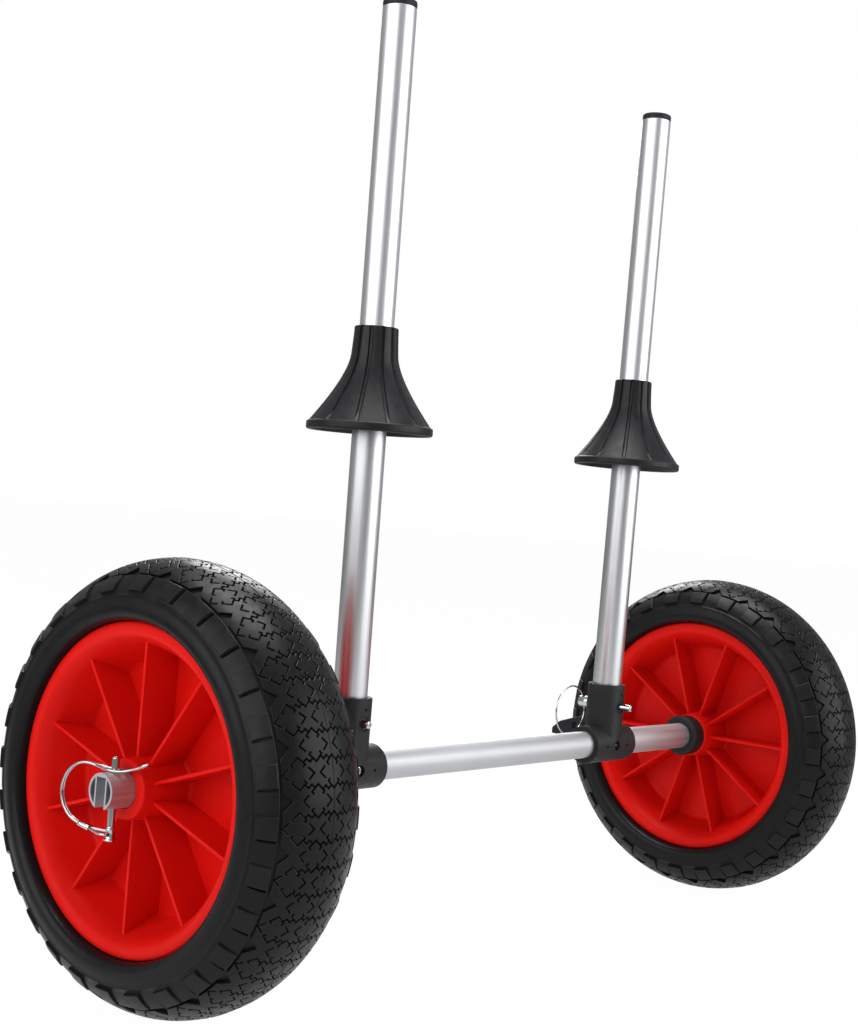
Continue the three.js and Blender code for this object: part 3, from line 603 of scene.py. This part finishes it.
def tread_faces(bm):
    """The faces of the laid-out pitch that are grooves, raised pads and slits."""
    grooves, lugs, slits = [], [], []
    for face in bm.faces:
        along, across = face.calc_center_median().xy
        if abs(across) < CROWN_CELLS:
            if is_groove(math.floor(across + along), math.floor(across - along)):
                grooves.append(face)
        elif abs(across) < CHANNEL_CELLS:
            grooves.append(face)
        elif abs(across) < LUG_CELLS:
            place = (along - LUG_PLACE) % PITCH_CELLS
            if place < LUG_LENGTH:
                lugs.append(face)
            elif place > SLIT_PLACE:
                slits.append(face)
    return grooves, lugs, slits


def narrow(slits):
    """Draws the slits together at their feet, so that they widen towards the tread."""
    slit_middle = (SLIT_PLACE + PITCH_CELLS) / 2 + LUG_PLACE
    for vert in {v for face in slits for v in face.verts if abs(v.co.y) > LUG_CELLS - ON_ROW}:
        off = (vert.co.x - slit_middle + PITCH_CELLS / 2) % PITCH_CELLS - PITCH_CELLS / 2
        vert.co.x -= off * (1 - SLIT_NARROWING_SHARE)


def sink(bm, faces, depth):
    """Sets a region down, or up, with a worn edge at the top of its steep wall."""
    wear = math.copysign(EDGE_WEAR * WEAR_SLOPE_SHARE, depth)
    worn, wall = (EDGE_WEAR, wear), (GROOVE_DRAFT, depth - wear)
    for across, down in (worn, wall) if depth < 0 else (wall, worn):
        bmesh.ops.inset_region(bm, faces=faces, thickness=across, depth=down, use_even_offset=True)


def raise_parting_line(bm):
    """Leaves the line where the mould's halves met, round the middle of the crown."""
    for line in (-PARTING_HALF, 0, PARTING_HALF):
        bmesh.ops.bisect_plane(
            bm, geom=everything(bm), dist=NEAR, plane_co=(0, line, 0), plane_no=(0, 1, 0)
        )
    skin = EDGE_WEAR / 10
    for vert in bm.verts:
        if abs(vert.co.y) < PARTING_HALF / 2 and abs(vert.co.z) < skin:
            vert.co.z = PARTING_HEIGHT


def on_tyre(flat):
    """Where a place on the laid-out pitch comes to lie on the tyre."""
    angle = flat.x / (PITCH_CELLS * CELL) * TURN / PITCHES
    height = flat.z
    if height > LUG_HEIGHT / 2:
        height += LUG_RISE * (abs(flat.y) / CELL - CHANNEL_CELLS) / (LUG_CELLS - CHANNEL_CELLS)
    if abs(abs(flat.y) - BEAD_LINE[1]) < ON_ROW:
        height += BEAD_LINE_HEIGHT
    spot, out = SECTION.at(flat.y)
    x, radius = spot + out * height
    return Vector((x, radius * math.sin(angle), radius * math.cos(angle))) * MM


def tyre():
    bm = flat_pitch()
    coarse_with_painted_light = bm.faces.layers.float.new("coarse_with_painted_light")
    grooves, lugs, slits = tread_faces(bm)
    narrow(slits)
    bmesh.ops.scale(bm, vec=(CELL, CELL, 1), verts=bm.verts)
    sink(bm, grooves, -TREAD_DEPTH)
    # marks the raised pads for their coarse texture and for their paler colour, which is painted light
    for face in lugs:
        face[coarse_with_painted_light] = 1
    sink(bm, lugs, LUG_HEIGHT)
    sink(bm, slits, -SLIT_DEPTH)
    raise_parting_line(bm)
    clip(bm, 0, PITCH_CELLS * CELL / 2)
    for vert in bm.verts:
        vert.co = on_tyre(vert.co)
    repeated(bm, PITCHES)
    bmesh.ops.remove_doubles(bm, verts=bm.verts, dist=MERGE)
    bmesh.ops.bridge_loops(bm, edges=[e for e in bm.edges if e.is_boundary])
    bmesh.ops.recalc_face_normals(bm, faces=bm.faces)
    return bm


# Rims. An outline's corners are (radius, place along the axis, rounding).

AXLE_BORE = 12.0
HUB_RADIUS = 19.5
HUB_FLARE = 3
HUB_HALF = 38.2
WEB_HALF = 2
BARREL_WEB = 84
BARREL_MOUTH = 93.6
BARREL_OUTSIDE = 88  # in the wheel's middle
RIM_FACE = 37.2
FLANGE_RADIUS = 107.3
RIB_COUNT = 10
RIB_EDGE = 29.5
RIB_THICKNESS = 2.4
RIB_ROUNDING = 0.55
RIB_IN_HUB = 1  # how far a rib reaches into the hub, and into the barrel at its mouth and at the web
RIB_IN_MOUTH = 1.4
RIB_IN_BARREL = 2
RIM_STEPS = 160
RIM_HALF = (
    (AXLE_BORE, HUB_HALF, 0.5),
    (HUB_RADIUS, HUB_HALF, 1.8),
    (HUB_RADIUS + HUB_FLARE, WEB_HALF, 3),
    (BARREL_WEB, WEB_HALF, 3),
    (BARREL_MOUTH, RIB_EDGE, 5),
    (98.9, RIM_FACE - 0.6, 3.4),
    (103.6, RIM_FACE, 2.4),
    (FLANGE_RADIUS, RIM_FACE - 1.2, 1.6),
    (FLANGE_RADIUS, 33, 0.4),
    (97.6, 29.2, 3),
)


def rim():
    other_half = [(radius, -x, rounding) for radius, x, rounding in reversed(RIM_HALF)]
    body = turned([*RIM_HALF, (BARREL_OUTSIDE, 0, 0), *other_half], "x", RIM_STEPS, closed=True)
    inner, outer = HUB_RADIUS - RIB_IN_HUB, BARREL_MOUTH + RIB_IN_MOUTH
    corners = (
        (inner, -RIB_EDGE), (outer, -RIB_EDGE), (BARREL_WEB + RIB_IN_BARREL, 0), (outer, RIB_EDGE),
        (inner, RIB_EDGE),
    )
    rib = slab([Vector(c) * MM for c in corners], RIB_THICKNESS * MM, RIB_ROUNDING * MM)
    bmesh.ops.transform(rib, matrix=ACROSS_TO_Z, verts=rib.verts)
    repeated(rib, RIB_COUNT)
    bmesh.ops.recalc_face_normals(rib, faces=rib.faces)
    return joined(body, rib)


# Axle and collars

AXLE_RADIUS = 11.7
AXLE_WALL = 1.7
AXLE_STEPS = 72
CHANNEL_WIDTH = 8.8
CHANNEL_WEB = 1.4
COLLAR_RADIUS = 18.6
COLLAR_HALF = 7.7
COLLAR_OUTLINE = (
    (AXLE_BORE, -COLLAR_HALF, 0.3),
    (COLLAR_RADIUS, -COLLAR_HALF, 0.8),
    (COLLAR_RADIUS, COLLAR_HALF, 3.2),
    (AXLE_BORE, COLLAR_HALF, 0.4),
)


def arc(centre, radius, start, end, steps=24):
    """Points of an arc between two angles."""
    angles = [start + (end - start) * k / steps for k in range(steps + 1)]
    return [(centre[0] + radius * math.cos(a), centre[1] + radius * math.sin(a)) for a in angles]


def loop_edges(bm, points):
    """The edges of a closed line, in millimetres."""
    corners = [bm.verts.new((x * MM, y * MM, 0)) for x, y in points]
    return [bm.edges.new((corners[i - 1], corners[i])) for i in range(len(corners))]


def axle():
    """The tube's section is drawn with its up way up, and then runs along X."""
    inside = AXLE_RADIUS - AXLE_WALL
    half = CHANNEL_WIDTH / 2
    lip = math.asin(half / AXLE_RADIUS)
    roof = math.sqrt(inside ** 2 - half ** 2)
    outside = arc((0, 0), AXLE_RADIUS, lip - TURN / 4, TURN * 3 / 4 - lip, AXLE_STEPS)
    void = math.acos((half + CHANNEL_WEB) / inside)
    bm = bmesh.new()
    edges = loop_edges(bm, outside + [(-half, roof), (half, roof)])
    for heading in (0, TURN / 2):
        edges += loop_edges(bm, arc((0, 0), inside, heading - void, heading + void))
    filled = bmesh.ops.triangle_fill(bm, edges=edges, use_beauty=True)["geom"]
    faces = [part for part in filled if isinstance(part, bmesh.types.BMFace)]
    low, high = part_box("axle_tube")
    grown = bmesh.ops.extrude_face_region(bm, geom=faces, use_keep_orig=True)["geom"]
    bmesh.ops.translate(bm, verts=fresh_corners(grown), vec=(0, 0, high.x - low.x))
    bmesh.ops.recalc_face_normals(bm, faces=bm.faces)
    return moved(bm, (low.x, 0, 0), DEPTH_TO_X)


def collar():
    return turned(COLLAR_OUTLINE, "x", closed=True)


# T joints. The sleeve lies along X, the socket stands up and the front faces -Y.

SLEEVE_RADIUS = 16.5
SLEEVE_HALF = 29.5
SOCKET_RADIUS = 16.5
SOCKET_MOUTH = 53.0
SOCKET_FLOOR = 15.0
SOCKET_BORE = 13.0
TEE_EDGE = 1.0
BORE_STEPS = 72
EYE_OUTLINE = ((8, 0, 0), (59, 0, 1.2), (59, 5.4, 1.2), (51.5, 12.2, 3), (8, 27, 0))
EYE_WINDOW = ((18.7, 7.4, 1), (18.7, 19, 1), (37, 12.6, 1), (37, 7.4, 1))
EYE_WINDOW_TOOL = 12
EYE_THICKNESS = 7
EYE_EDGE = 0.8
EYE_PLACE = 7.5
HOLE_STEPS = 32
HOLE_EDGE = 0.35
HOLE_CORNER = math.radians(40)
FRONT_HOLES = (  # radius, depth, place across and height
    (3.1, 40, 0, PIN_HEIGHT),
    (5.5, 1.2, 0, PIN_HEIGHT),
    (1.3, 1, 0, 45),
    (4.3, 3.6, 0, 0),
    (1.3, 1, -15, 0),
    (1.3, 1, 15, 0),
)
SCREW_FACE = -14.6
SCREW_NECK = -13
SCREW_END = -8.8
SCREW_OUTLINE = (
    (0, SCREW_FACE, 0), (3.5, SCREW_FACE, 1.2), (3.5, SCREW_NECK, 0.2), (2, SCREW_NECK, 0),
    (2, SCREW_END, 0.5), (0, SCREW_END, 0),
)
SCREW_STEPS = 40
DRIVE_LENGTH = 4.8  # of each of the two crossed slots in the screw's face
DRIVE_WIDTH = 0.9
DRIVE_DEPTH = 1.2


def strap_eye():
    plate = slab(rounded(EYE_OUTLINE, closed=True), EYE_THICKNESS * MM, EYE_EDGE * MM)
    window = slab(rounded(EYE_WINDOW, closed=True), EYE_WINDOW_TOOL * MM)
    return moved(cut(plate, window), (EYE_PLACE * MM, 0, 0), DEPTH_TO_X)


def tee():
    sleeve = rod(SLEEVE_RADIUS, -SLEEVE_HALF, SLEEVE_HALF, "x", ROUND_STEPS, TEE_EDGE)
    socket = turned(
        [(0, 0, 0), (SOCKET_RADIUS, 0, 0), (SOCKET_RADIUS, SOCKET_MOUTH, TEE_EDGE), (0, SOCKET_MOUTH, 0)]
    )
    body = united(united(sleeve, socket), strap_eye())
    body = cut(body, rod(AXLE_BORE, -SLEEVE_HALF - OVERRUN, SLEEVE_HALF + OVERRUN, "x", BORE_STEPS))
    body = cut(body, rod(SOCKET_BORE, SOCKET_FLOOR, SOCKET_MOUTH + OVERRUN, "z", BORE_STEPS))
    for radius, depth, x, z in FRONT_HOLES:
        tool = rod(radius, -SOCKET_RADIUS - OVERRUN, -SOCKET_RADIUS + depth, "y", HOLE_STEPS)
        body = cut(body, moved(tool, (x * MM, 0, z * MM)))
    soften(body, HOLE_EDGE * MM, HOLE_CORNER)
    return body


def tee_screw():
    screw = turned(SCREW_OUTLINE, "y", SCREW_STEPS)
    across, up = DRIVE_LENGTH / 2 * MM, DRIVE_WIDTH / 2 * MM
    corners = ((-across, -up), (across, -up), (across, up), (-across, up))
    for turn in (0, TURN / 4):
        bar = slab(corners, 2 * DRIVE_DEPTH * MM)
        upright = Matrix.Rotation(TURN / 4, 4, "X") @ Matrix.Rotation(turn, 4, "Z")
        screw = cut(screw, moved(bar, (0, SCREW_FACE * MM, 0), upright))
    return screw


# Posts and caps

POST_RADIUS = 12.7
POST_WALL = 1.6
POST_FOOT = 15.3
POST_LENGTH = 542.7
POST_INNER_EDGE = 0.2
POST_OUTER_EDGE = 0.4
CAP_SEAT = 558.3
CAP_PLUG = -16
CAP_TOP = 5
CAP_OUTLINE = (
    (0, CAP_PLUG, 0), (10, CAP_PLUG, 0.8), (10.8, 0, 0), (POST_RADIUS, 0, 0.3), (POST_RADIUS, CAP_TOP, 1.7),
    (0, CAP_TOP, 0),
)


def post():
    inner = POST_RADIUS - POST_WALL
    outline = [
        (inner, 0, POST_INNER_EDGE), (POST_RADIUS, 0, POST_OUTER_EDGE),
        (POST_RADIUS, POST_LENGTH, POST_OUTER_EDGE), (inner, POST_LENGTH, POST_INNER_EDGE),
    ]
    return turned(outline, closed=True)


def post_cap():
    return turned(CAP_OUTLINE)


# Cones

CONE_FOOT = 246.5
CONE_HEIGHT = 77.5
CONE_BORE = 13.2
CONE_WALL = 3.4
NECK_FOOT = 57.5
NECK_INSIDE = 15  # a radius between the neck's bore and its outside
NECK_OUTLINE = ((CONE_BORE, CONE_HEIGHT, 0.3), (16.2, CONE_HEIGHT, 1.0), (16.4, 71.5, 0), (16.8, 64.5, 0))
FLARE = ((17.3, NECK_FOOT), (18.3, 41), (45, 6.4))  # its start, the corner it bends towards, and its end
FLARE_STEPS = 16
LIP_OUTLINE = ((46.2, 6.0, 0.5), (46.6, 5.2, 0.3), (46.6, 0.9, 0.8), (45.6, 0, 0.4), (43.2, 0, 0.5))
HOLLOW_RADIUS = 20.5  # the inside follows the flare only outside this radius and above this height
HOLLOW_FOOT = 4.2
HOLLOW_TOP = (CONE_BORE, 37.6, 0.8)
PETALS = 12
PETAL_STEPS = 48
PETAL_GROOVE = 3.8
PETAL_WALL = 1.1
PETAL_DEPTH = 1.9
PETAL_FOOT = 8.0  # the grooves run out here, above the lip's band
PETAL_FADE = 2.5
PETAL_TOP = 0.2  # below the cone's top
PETAL_SKIN = 1.2  # corners less deep than this belong to the outside


def groove_petals(bm, flare):
    """Sinks the grooves that part the petals into the outside of a cone."""
    for vert in bm.verts:
        radius = math.hypot(vert.co.x, vert.co.y) / MM
        height = vert.co.z / MM
        skin = min(flare, key=lambda p: abs(p.y - height)).x if height < NECK_FOOT else NECK_INSIDE
        if radius < skin - PETAL_SKIN or height < PETAL_FOOT or height > CONE_HEIGHT - PETAL_TOP:
            continue
        around = math.atan2(vert.co.y, vert.co.x) / TURN * PETALS
        off = abs(around - round(around)) * TURN / PETALS * radius
        if off < PETAL_GROOVE / 2:
            run_out = min(1, (height - PETAL_FOOT) / PETAL_FADE)
            shoulder = min(1, (PETAL_GROOVE / 2 - off) / PETAL_WALL)
            # a step that starts and ends smoothly
            depth = PETAL_DEPTH * shoulder ** 2 * (3 - 2 * shoulder) * run_out
            vert.co.xy *= (radius - depth) / radius


def cone():
    flare = bend(*(Vector(p) for p in FLARE), FLARE_STEPS)
    outside = [(p.x, p.y, 0) for p in flare]
    inside = [
        (p.x - CONE_WALL, p.y - CONE_WALL, 0)
        for p in reversed(flare) if p.x > HOLLOW_RADIUS and p.y > HOLLOW_FOOT
    ]
    outline = [*NECK_OUTLINE, *outside, *LIP_OUTLINE, *inside, HOLLOW_TOP]
    bm = turned(outline, "z", PETALS * PETAL_STEPS, closed=True)
    groove_petals(bm, flare)
    return bm


# Detent pins and pull rings, about the pin's axis, along Y

PIN_TIP = -28.2
PIN_RADIUS = 2.8
HEAD_RADIUS = 4.8
HEAD_START = 16.8
HEAD_END = 27
PIN_OUTLINE = (
    (0, PIN_TIP, 0), (1.9, PIN_TIP, 0.4), (PIN_RADIUS, -27.2, 0.5), (PIN_RADIUS, HEAD_START, 0),
    (HEAD_RADIUS, HEAD_START, 0.5), (HEAD_RADIUS, HEAD_END, 1.2), (0, HEAD_END, 0),
)
PIN_STEPS = 48
THIN_HOLE_STEPS = 24
BALL_PLACE = -24.6
BALL_BORE = 1.6
BALL_BORE_ENDS = (-5, 2.1)
RING_HOLE = 22.8
RING_HOLE_RADIUS = 1.7
RING_HOLE_ENDS = (-7, 7)
RING_RADIUS = 21.5
RING_WIRE = 0.8
RING_WIRE_STEPS = 16
RING_LEAN = math.radians(20)


def detent_pin():
    pin = turned(PIN_OUTLINE, "y", PIN_STEPS)
    hole = rod(RING_HOLE_RADIUS, *RING_HOLE_ENDS, "z", THIN_HOLE_STEPS)
    pin = cut(pin, moved(hole, (0, RING_HOLE * MM, 0), Matrix.Rotation(-RING_LEAN, 4, "Y")))
    ball_bore = rod(BALL_BORE, *BALL_BORE_ENDS, "z", THIN_HOLE_STEPS)
    return cut(pin, moved(ball_bore, (0, BALL_PLACE * MM, 0)))


def pull_ring():
    """The ring lies in the XZ plane and hangs from the hole in the pin's head."""
    bm = bmesh.new()
    bmesh.ops.create_circle(bm, segments=RING_WIRE_STEPS, radius=RING_WIRE * MM)
    bmesh.ops.translate(bm, verts=bm.verts, vec=(RING_RADIUS * MM, 0, 0))
    bmesh.ops.spin(
        bm, geom=bm.verts[:] + bm.edges[:], cent=(0, 0, 0), axis=(0, 1, 0), angle=TURN, steps=ROUND_STEPS,
        use_merge=True,
    )
    tidied(bm)
    lean = Vector((-math.cos(RING_LEAN), 0, -math.sin(RING_LEAN))) * RING_RADIUS
    return moved(bm, (lean + Vector((0, RING_HOLE, 0))) * MM)


# Lock pins and bails, about the lock pin's axis

LOCK_HEAD_TOP = -23.4
LOCK_HEAD_BOTTOM = -32.0
LOCK_RADIUS = 2.5
LOCK_TIP = 21.7
LOCK_OUTLINE = (
    (0, LOCK_HEAD_BOTTOM, 0),
    (4, LOCK_HEAD_BOTTOM, 0.3),
    (4, LOCK_HEAD_BOTTOM + 0.9, 0.3),
    (3.1, LOCK_HEAD_BOTTOM + 2.2, 1.0),
    (2.9, LOCK_HEAD_TOP - 2.6, 0.5),
    (3.6, LOCK_HEAD_TOP - 1.3, 0.6),
    (LOCK_RADIUS, LOCK_HEAD_TOP, 0.5),
    (LOCK_RADIUS, 20.7, 0.4),
    (1.6, LOCK_TIP, 0.3),
    (0, LOCK_TIP, 0),
)
BAIL_PIVOT = -27.7
BAIL_HOLE_RADIUS = 1.45
BAIL_HOLE_ENDS = (-6, 6)
BAIL_WIRE = 0.9
BAIL_TURN = math.radians(-78)
BAIL_CROSSING = 12.9
STRADDLE = 3.9
IN_FERRULE = 0.95
BESIDE_HEAD = 5.3
# places of the wire's line as (across the axle, beside the bail's middle plane, up)
HAIRPIN = (
    (26, 0, 20.0), (24.9, 1.3, 19.6), (19.8, 1.7, 17.2), (13, 1.9, 14.6), (7.5, 3.0, 13.2),
    (3.2, STRADDLE, BAIL_CROSSING), (-3.2, STRADDLE, BAIL_CROSSING), (-7.5, 3.0, 13.1), (-13.5, 1.4, 13.9),
)
INTO_HEAD = (
    (-16.8, IN_FERRULE, -26.6), (-10.6, 3.4, -27.3), (-5.0, BESIDE_HEAD, BAIL_PIVOT),
    (-1.4, BESIDE_HEAD - 0.1, BAIL_PIVOT), (-0.2, BESIDE_HEAD - 1.3, BAIL_PIVOT), (0, 2.4, BAIL_PIVOT),
)
LOOP_CENTRE = (-21.8, -5.1)
LOOP_RADIUS = 19.8
LOOP_START = math.radians(97)
LOOP_END = math.radians(260)
LOOP_STEPS = 8
LOOP = arc(LOOP_CENTRE, LOOP_RADIUS, LOOP_START, LOOP_END, LOOP_STEPS)
FERRULE_RADIUS = 1.9
FERRULE_LENGTH = 9
FERRULE_EDGE = 0.4
FERRULE_STEPS = 12
FERRULE_AIM = (-4, BAIL_PIVOT - 1.8)


def lock_pin():
    hole = rod(BAIL_HOLE_RADIUS, *BAIL_HOLE_ENDS, "y", THIN_HOLE_STEPS)
    moved(hole, (0, 0, BAIL_PIVOT * MM), Matrix.Rotation(BAIL_TURN, 4, "Z"))
    return cut(turned(LOCK_OUTLINE, "z", PIN_STEPS), hole)


def bail():
    """One half runs from the hairpin's end round the loop into the head, and the other one back."""
    half = [*HAIRPIN, *((across, IN_FERRULE, up) for across, up in LOOP), *INTO_HEAD]
    other_half = [(across, -beside, up) for across, beside, up in reversed(half[1:])]
    bm = wire([Vector(p) * MM for p in half + other_half], BAIL_WIRE * MM)
    return moved(bm, turn=Matrix.Rotation(BAIL_TURN, 4, "Z"))


def ferrule():
    start = Vector(LOOP[-1])
    along = (Vector(FERRULE_AIM) - start).normalized()
    outline = arc((IN_FERRULE, 0), FERRULE_RADIUS, -TURN / 4, TURN / 4, FERRULE_STEPS)
    outline += arc((-IN_FERRULE, 0), FERRULE_RADIUS, TURN / 4, TURN * 3 / 4, FERRULE_STEPS)
    bm = slab([(x * MM, y * MM) for x, y in outline], FERRULE_LENGTH * MM, FERRULE_EDGE * MM)
    moved(bm, (0, 0, FERRULE_LENGTH / 2 * MM))
    stand = Matrix.Rotation(math.atan2(along.x, along.y), 4, "Y") @ Matrix.Rotation(TURN / 4, 4, "Z")
    moved(bm, (start.x * MM, 0, start.y * MM), stand)
    return moved(bm, turn=Matrix.Rotation(BAIL_TURN, 4, "Z"))


# The whole cart

tyre_shape = tyre()
rim_shape = rim()
tee_shape = tee()
cone_shape = cone()
half_turn = Matrix.Rotation(TURN / 2, 4, "Z")
# the photo shows the far wheel turned on by half the room between two ribs
half_rib = Matrix.Rotation(TURN / RIB_COUNT / 2, 4, "X")

piece("axle_tube", axle(), (0, 0, AXLE_HEIGHT), "frame", "aluminium", axle_finish())

for side in SIDES:
    is_right = side == "right"
    facing = half_turn if is_right else None
    wheel, tee_place, stood = WHEELS[side], TEES[side], (0, 0, 0)
    pin_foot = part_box(f"detent_pin_{side}")[0].y
    pin_place = (tee_place.x, pin_foot - PIN_TIP * MM, tee_place.z + PIN_HEIGHT * MM)
    lock_place = (middle(f"lock_pin_{side}").x, 0, AXLE_HEIGHT)
    red = moved(rim_shape.copy(), turn=half_rib if is_right else None)
    # the flat side of the collar is towards the wheel
    ring = moved(collar(), turn=facing)
    for node, shape, place, body, slot in (
        ("tyre", tyre_shape.copy(), wheel, f"wheel_{side}", "tyre_foam"),
        ("rim", red, wheel, f"wheel_{side}", "red_plastic"),
        ("spacer_collar", ring, middle(f"spacer_collar_{side}"), "frame", "black_plastic"),
        ("t_joint", tee_shape.copy(), tee_place, "frame", "black_plastic"),
        ("t_joint_screw", tee_screw(), tee_place, "frame", "chrome"),
        ("post", leaning(post(), side, POST_FOOT), stood, "frame", "aluminium"),
        ("post_cap", leaning(post_cap(), side, CAP_SEAT), stood, "frame", "black_plastic"),
        ("cone", leaning(cone_shape.copy(), side, CONE_FOOT), stood, f"cone_{side}", "cone_rubber"),
        ("detent_pin", detent_pin(), pin_place, f"detent_pin_{side}", "chrome"),
        ("pull_ring", pull_ring(), pin_place, f"pull_ring_{side}", "chrome"),
        ("lock_pin", moved(lock_pin(), turn=facing), lock_place, f"lock_pin_{side}", "chrome"),
        ("bail", moved(bail(), turn=facing), lock_place, f"bail_{side}", "chrome"),
        ("bail_ferrule", moved(ferrule(), turn=facing), lock_place, f"bail_{side}", "chrome"),
    ):
        piece(f"{node}_{side}", shape, place, body, slot)

    for node in (f"detent_ball_{side}", f"detent_spring_{side}"):
        shown = frame["nodes"][node]
        shown.data.materials.clear()
        shown.data.materials.append(FINISHES["chrome"])

for shape in (tyre_shape, rim_shape, tee_shape, cone_shape):
    shape.free()

# Camera, floor and light

CAMERA_PLACE = Vector((-1.042712, -0.803651, 0.189905 + AXLE_HEIGHT))
CAMERA_HEADING = 0.863
CAMERA_PITCH = 0.002
CAMERA_ROLL = 0.081
FOCAL_PIXELS = 1608.896
PHOTO_HEIGHT = 1024
FILM = 36.0
FLOOR_HALF = 30
FLOOR_PARTS = 4
FLOOR_DROP = 0.0005
FLOOR_COLOUR = (0.85, 0.85, 0.85, 1)
FLOOR_ROUGHNESS = 0.9
PAINTED_REFLECTION_EDGES = (0.7, 1.5)  # the floor's painted reflection, a glow that only metal sees, fades between these distances from the middle
PAINTED_REFLECTION_GLOWS = (0.85, 0.12)
PAINTED_REFLECTION_SHARE = 0.85
FLOOR_GLOW = 1.012
FLOOR_SHARE = 0.97
ROOM_COLOUR = (0.62, 0.63, 0.65, 1)
ROOM_STRENGTH = 0.35
MIRRORED_COLOUR = (0.98, 0.99, 1, 1)
MIRRORED_STRENGTH = 0.36
WHITE = (1, 1, 1, 1)
LAMPS = (  # name, place, the place it is turned to, width and height, power
    ("left", (-2.4, 0.1, 1.2), (0, 0, 0.35), (3.2, 2.0), 47),
    ("right", (0.96, -2.2, 1.0), (0, 0, 0.35), (2.6, 2.0), 50),
    ("top", (0.1, 0.2, 2.6), (0, 0, 0.3), (1.6, 1.6), 62),
    ("back", (1.8, 1.8, 1.8), (0, 0, 0.3), (1.0, 1.0), 30),
)


def set_camera():
    forward = Vector((
        math.sin(CAMERA_HEADING) * math.cos(CAMERA_PITCH),
        math.cos(CAMERA_HEADING) * math.cos(CAMERA_PITCH),
        math.sin(CAMERA_PITCH),
    ))
    level = Vector((math.cos(CAMERA_HEADING), -math.sin(CAMERA_HEADING), 0))
    up = level.cross(forward)
    right = level * math.cos(CAMERA_ROLL) + up * math.sin(CAMERA_ROLL)
    top = up * math.cos(CAMERA_ROLL) - level * math.sin(CAMERA_ROLL)
    data = bpy.data.cameras.new("photo_camera")
    data.sensor_width = FILM
    data.lens = FOCAL_PIXELS * FILM / PHOTO_HEIGHT
    camera = bpy.data.objects.new("photo_camera", data)
    turn = Matrix((right, top, -forward)).transposed().to_4x4()
    camera.matrix_world = Matrix.Translation(CAMERA_PLACE) @ turn
    bpy.context.scene.collection.objects.link(camera)
    bpy.context.scene.camera = camera


def lamp(name, place, target, size, power):
    data = bpy.data.lights.new(name, "AREA")
    data.shape = "RECTANGLE"
    data.size, data.size_y = size
    data.energy = power
    light = bpy.data.objects.new(name, data)
    aim = (Vector(target) - Vector(place)).to_track_quat("-Z", "Y")
    light.matrix_world = Matrix.Translation(place) @ aim.to_matrix().to_4x4()
    bpy.context.scene.collection.objects.link(light)


def glowing_to(ray, tree, shader, strength, share):
    """Mixes a shader with a plain glow for one kind of ray only."""
    path = lay(tree, "ShaderNodeLightPath")
    glow = lay(tree, "ShaderNodeEmission", {"Strength": strength})
    scale = lay(tree, "ShaderNodeMath", {0: path.outputs[ray], 1: share}, operation="MULTIPLY")
    return lay(
        tree, "ShaderNodeMixShader", {0: scale.outputs[0], 1: shader.outputs[0], 2: glow.outputs[0]}
    )


def painted_reflection_strength(tree):
    """A strength that falls off over the floor, for a glow that only glossy rays see: a painted reflection
    of a pale floor round the cart in metal.
    """
    place = lay(tree, "ShaderNodeTexCoord")
    reach = lay(tree, "ShaderNodeVectorMath", {0: place.outputs["Object"]}, operation="LENGTH")
    fall = lay(tree, "ShaderNodeMapRange", {"Value": reach.outputs["Value"]})
    for way, ends in (("From", PAINTED_REFLECTION_EDGES), ("To", PAINTED_REFLECTION_GLOWS)):
        fall.inputs[way + " Min"].default_value, fall.inputs[way + " Max"].default_value = ends
    return fall.outputs[0]


def set_floor():
    bm = bmesh.new()
    bmesh.ops.create_grid(bm, x_segments=FLOOR_PARTS, y_segments=FLOOR_PARTS, size=FLOOR_HALF)
    mesh = bpy.data.meshes.new("floor")
    bm.to_mesh(mesh)
    bm.free()
    floor = bpy.data.objects.new("floor", mesh)
    floor.location.z = -FLOOR_DROP
    bpy.context.scene.collection.objects.link(floor)
    material = bpy.data.materials.new("pale_floor")
    material.use_nodes = True
    tree = material.node_tree
    shader = tree.nodes["Principled BSDF"]
    shader.inputs["Base Color"].default_value = FLOOR_COLOUR
    shader.inputs["Roughness"].default_value = FLOOR_ROUGHNESS
    # the floor glows for glossy rays only, most near the cart: a painted reflection in metal
    with_painted_reflection = glowing_to("Is Glossy Ray", tree, shader, painted_reflection_strength(tree), PAINTED_REFLECTION_SHARE)
    mix = glowing_to("Is Camera Ray", tree, with_painted_reflection, FLOOR_GLOW, FLOOR_SHARE)
    tree.links.new(mix.outputs[0], tree.nodes["Material Output"].inputs["Surface"])
    mesh.materials.append(material)


def set_world():
    """A dim room that metal sees a little paler, and white behind everything."""
    world = bpy.data.worlds.new("studio")
    bpy.context.scene.world = world
    world.use_nodes = True
    tree = world.node_tree
    path = lay(tree, "ShaderNodeLightPath")
    last = tree.nodes["Background"]
    last.inputs["Color"].default_value = ROOM_COLOUR
    last.inputs["Strength"].default_value = ROOM_STRENGTH
    for ray, colour, strength in (
        ("Is Glossy Ray", MIRRORED_COLOUR, MIRRORED_STRENGTH), ("Is Camera Ray", WHITE, 1),
    ):
        seen = lay(tree, "ShaderNodeBackground", {"Color": colour, "Strength": strength})
        links = {0: path.outputs[ray], 1: last.outputs[0], 2: seen.outputs[0]}
        last = lay(tree, "ShaderNodeMixShader", links)
    tree.links.new(last.outputs[0], tree.nodes["World Output"].inputs["Surface"])


set_camera()
set_floor()
set_world()
for values in LAMPS:
    lamp(*values)

bpy.context.scene.view_settings.view_transform = "Standard"
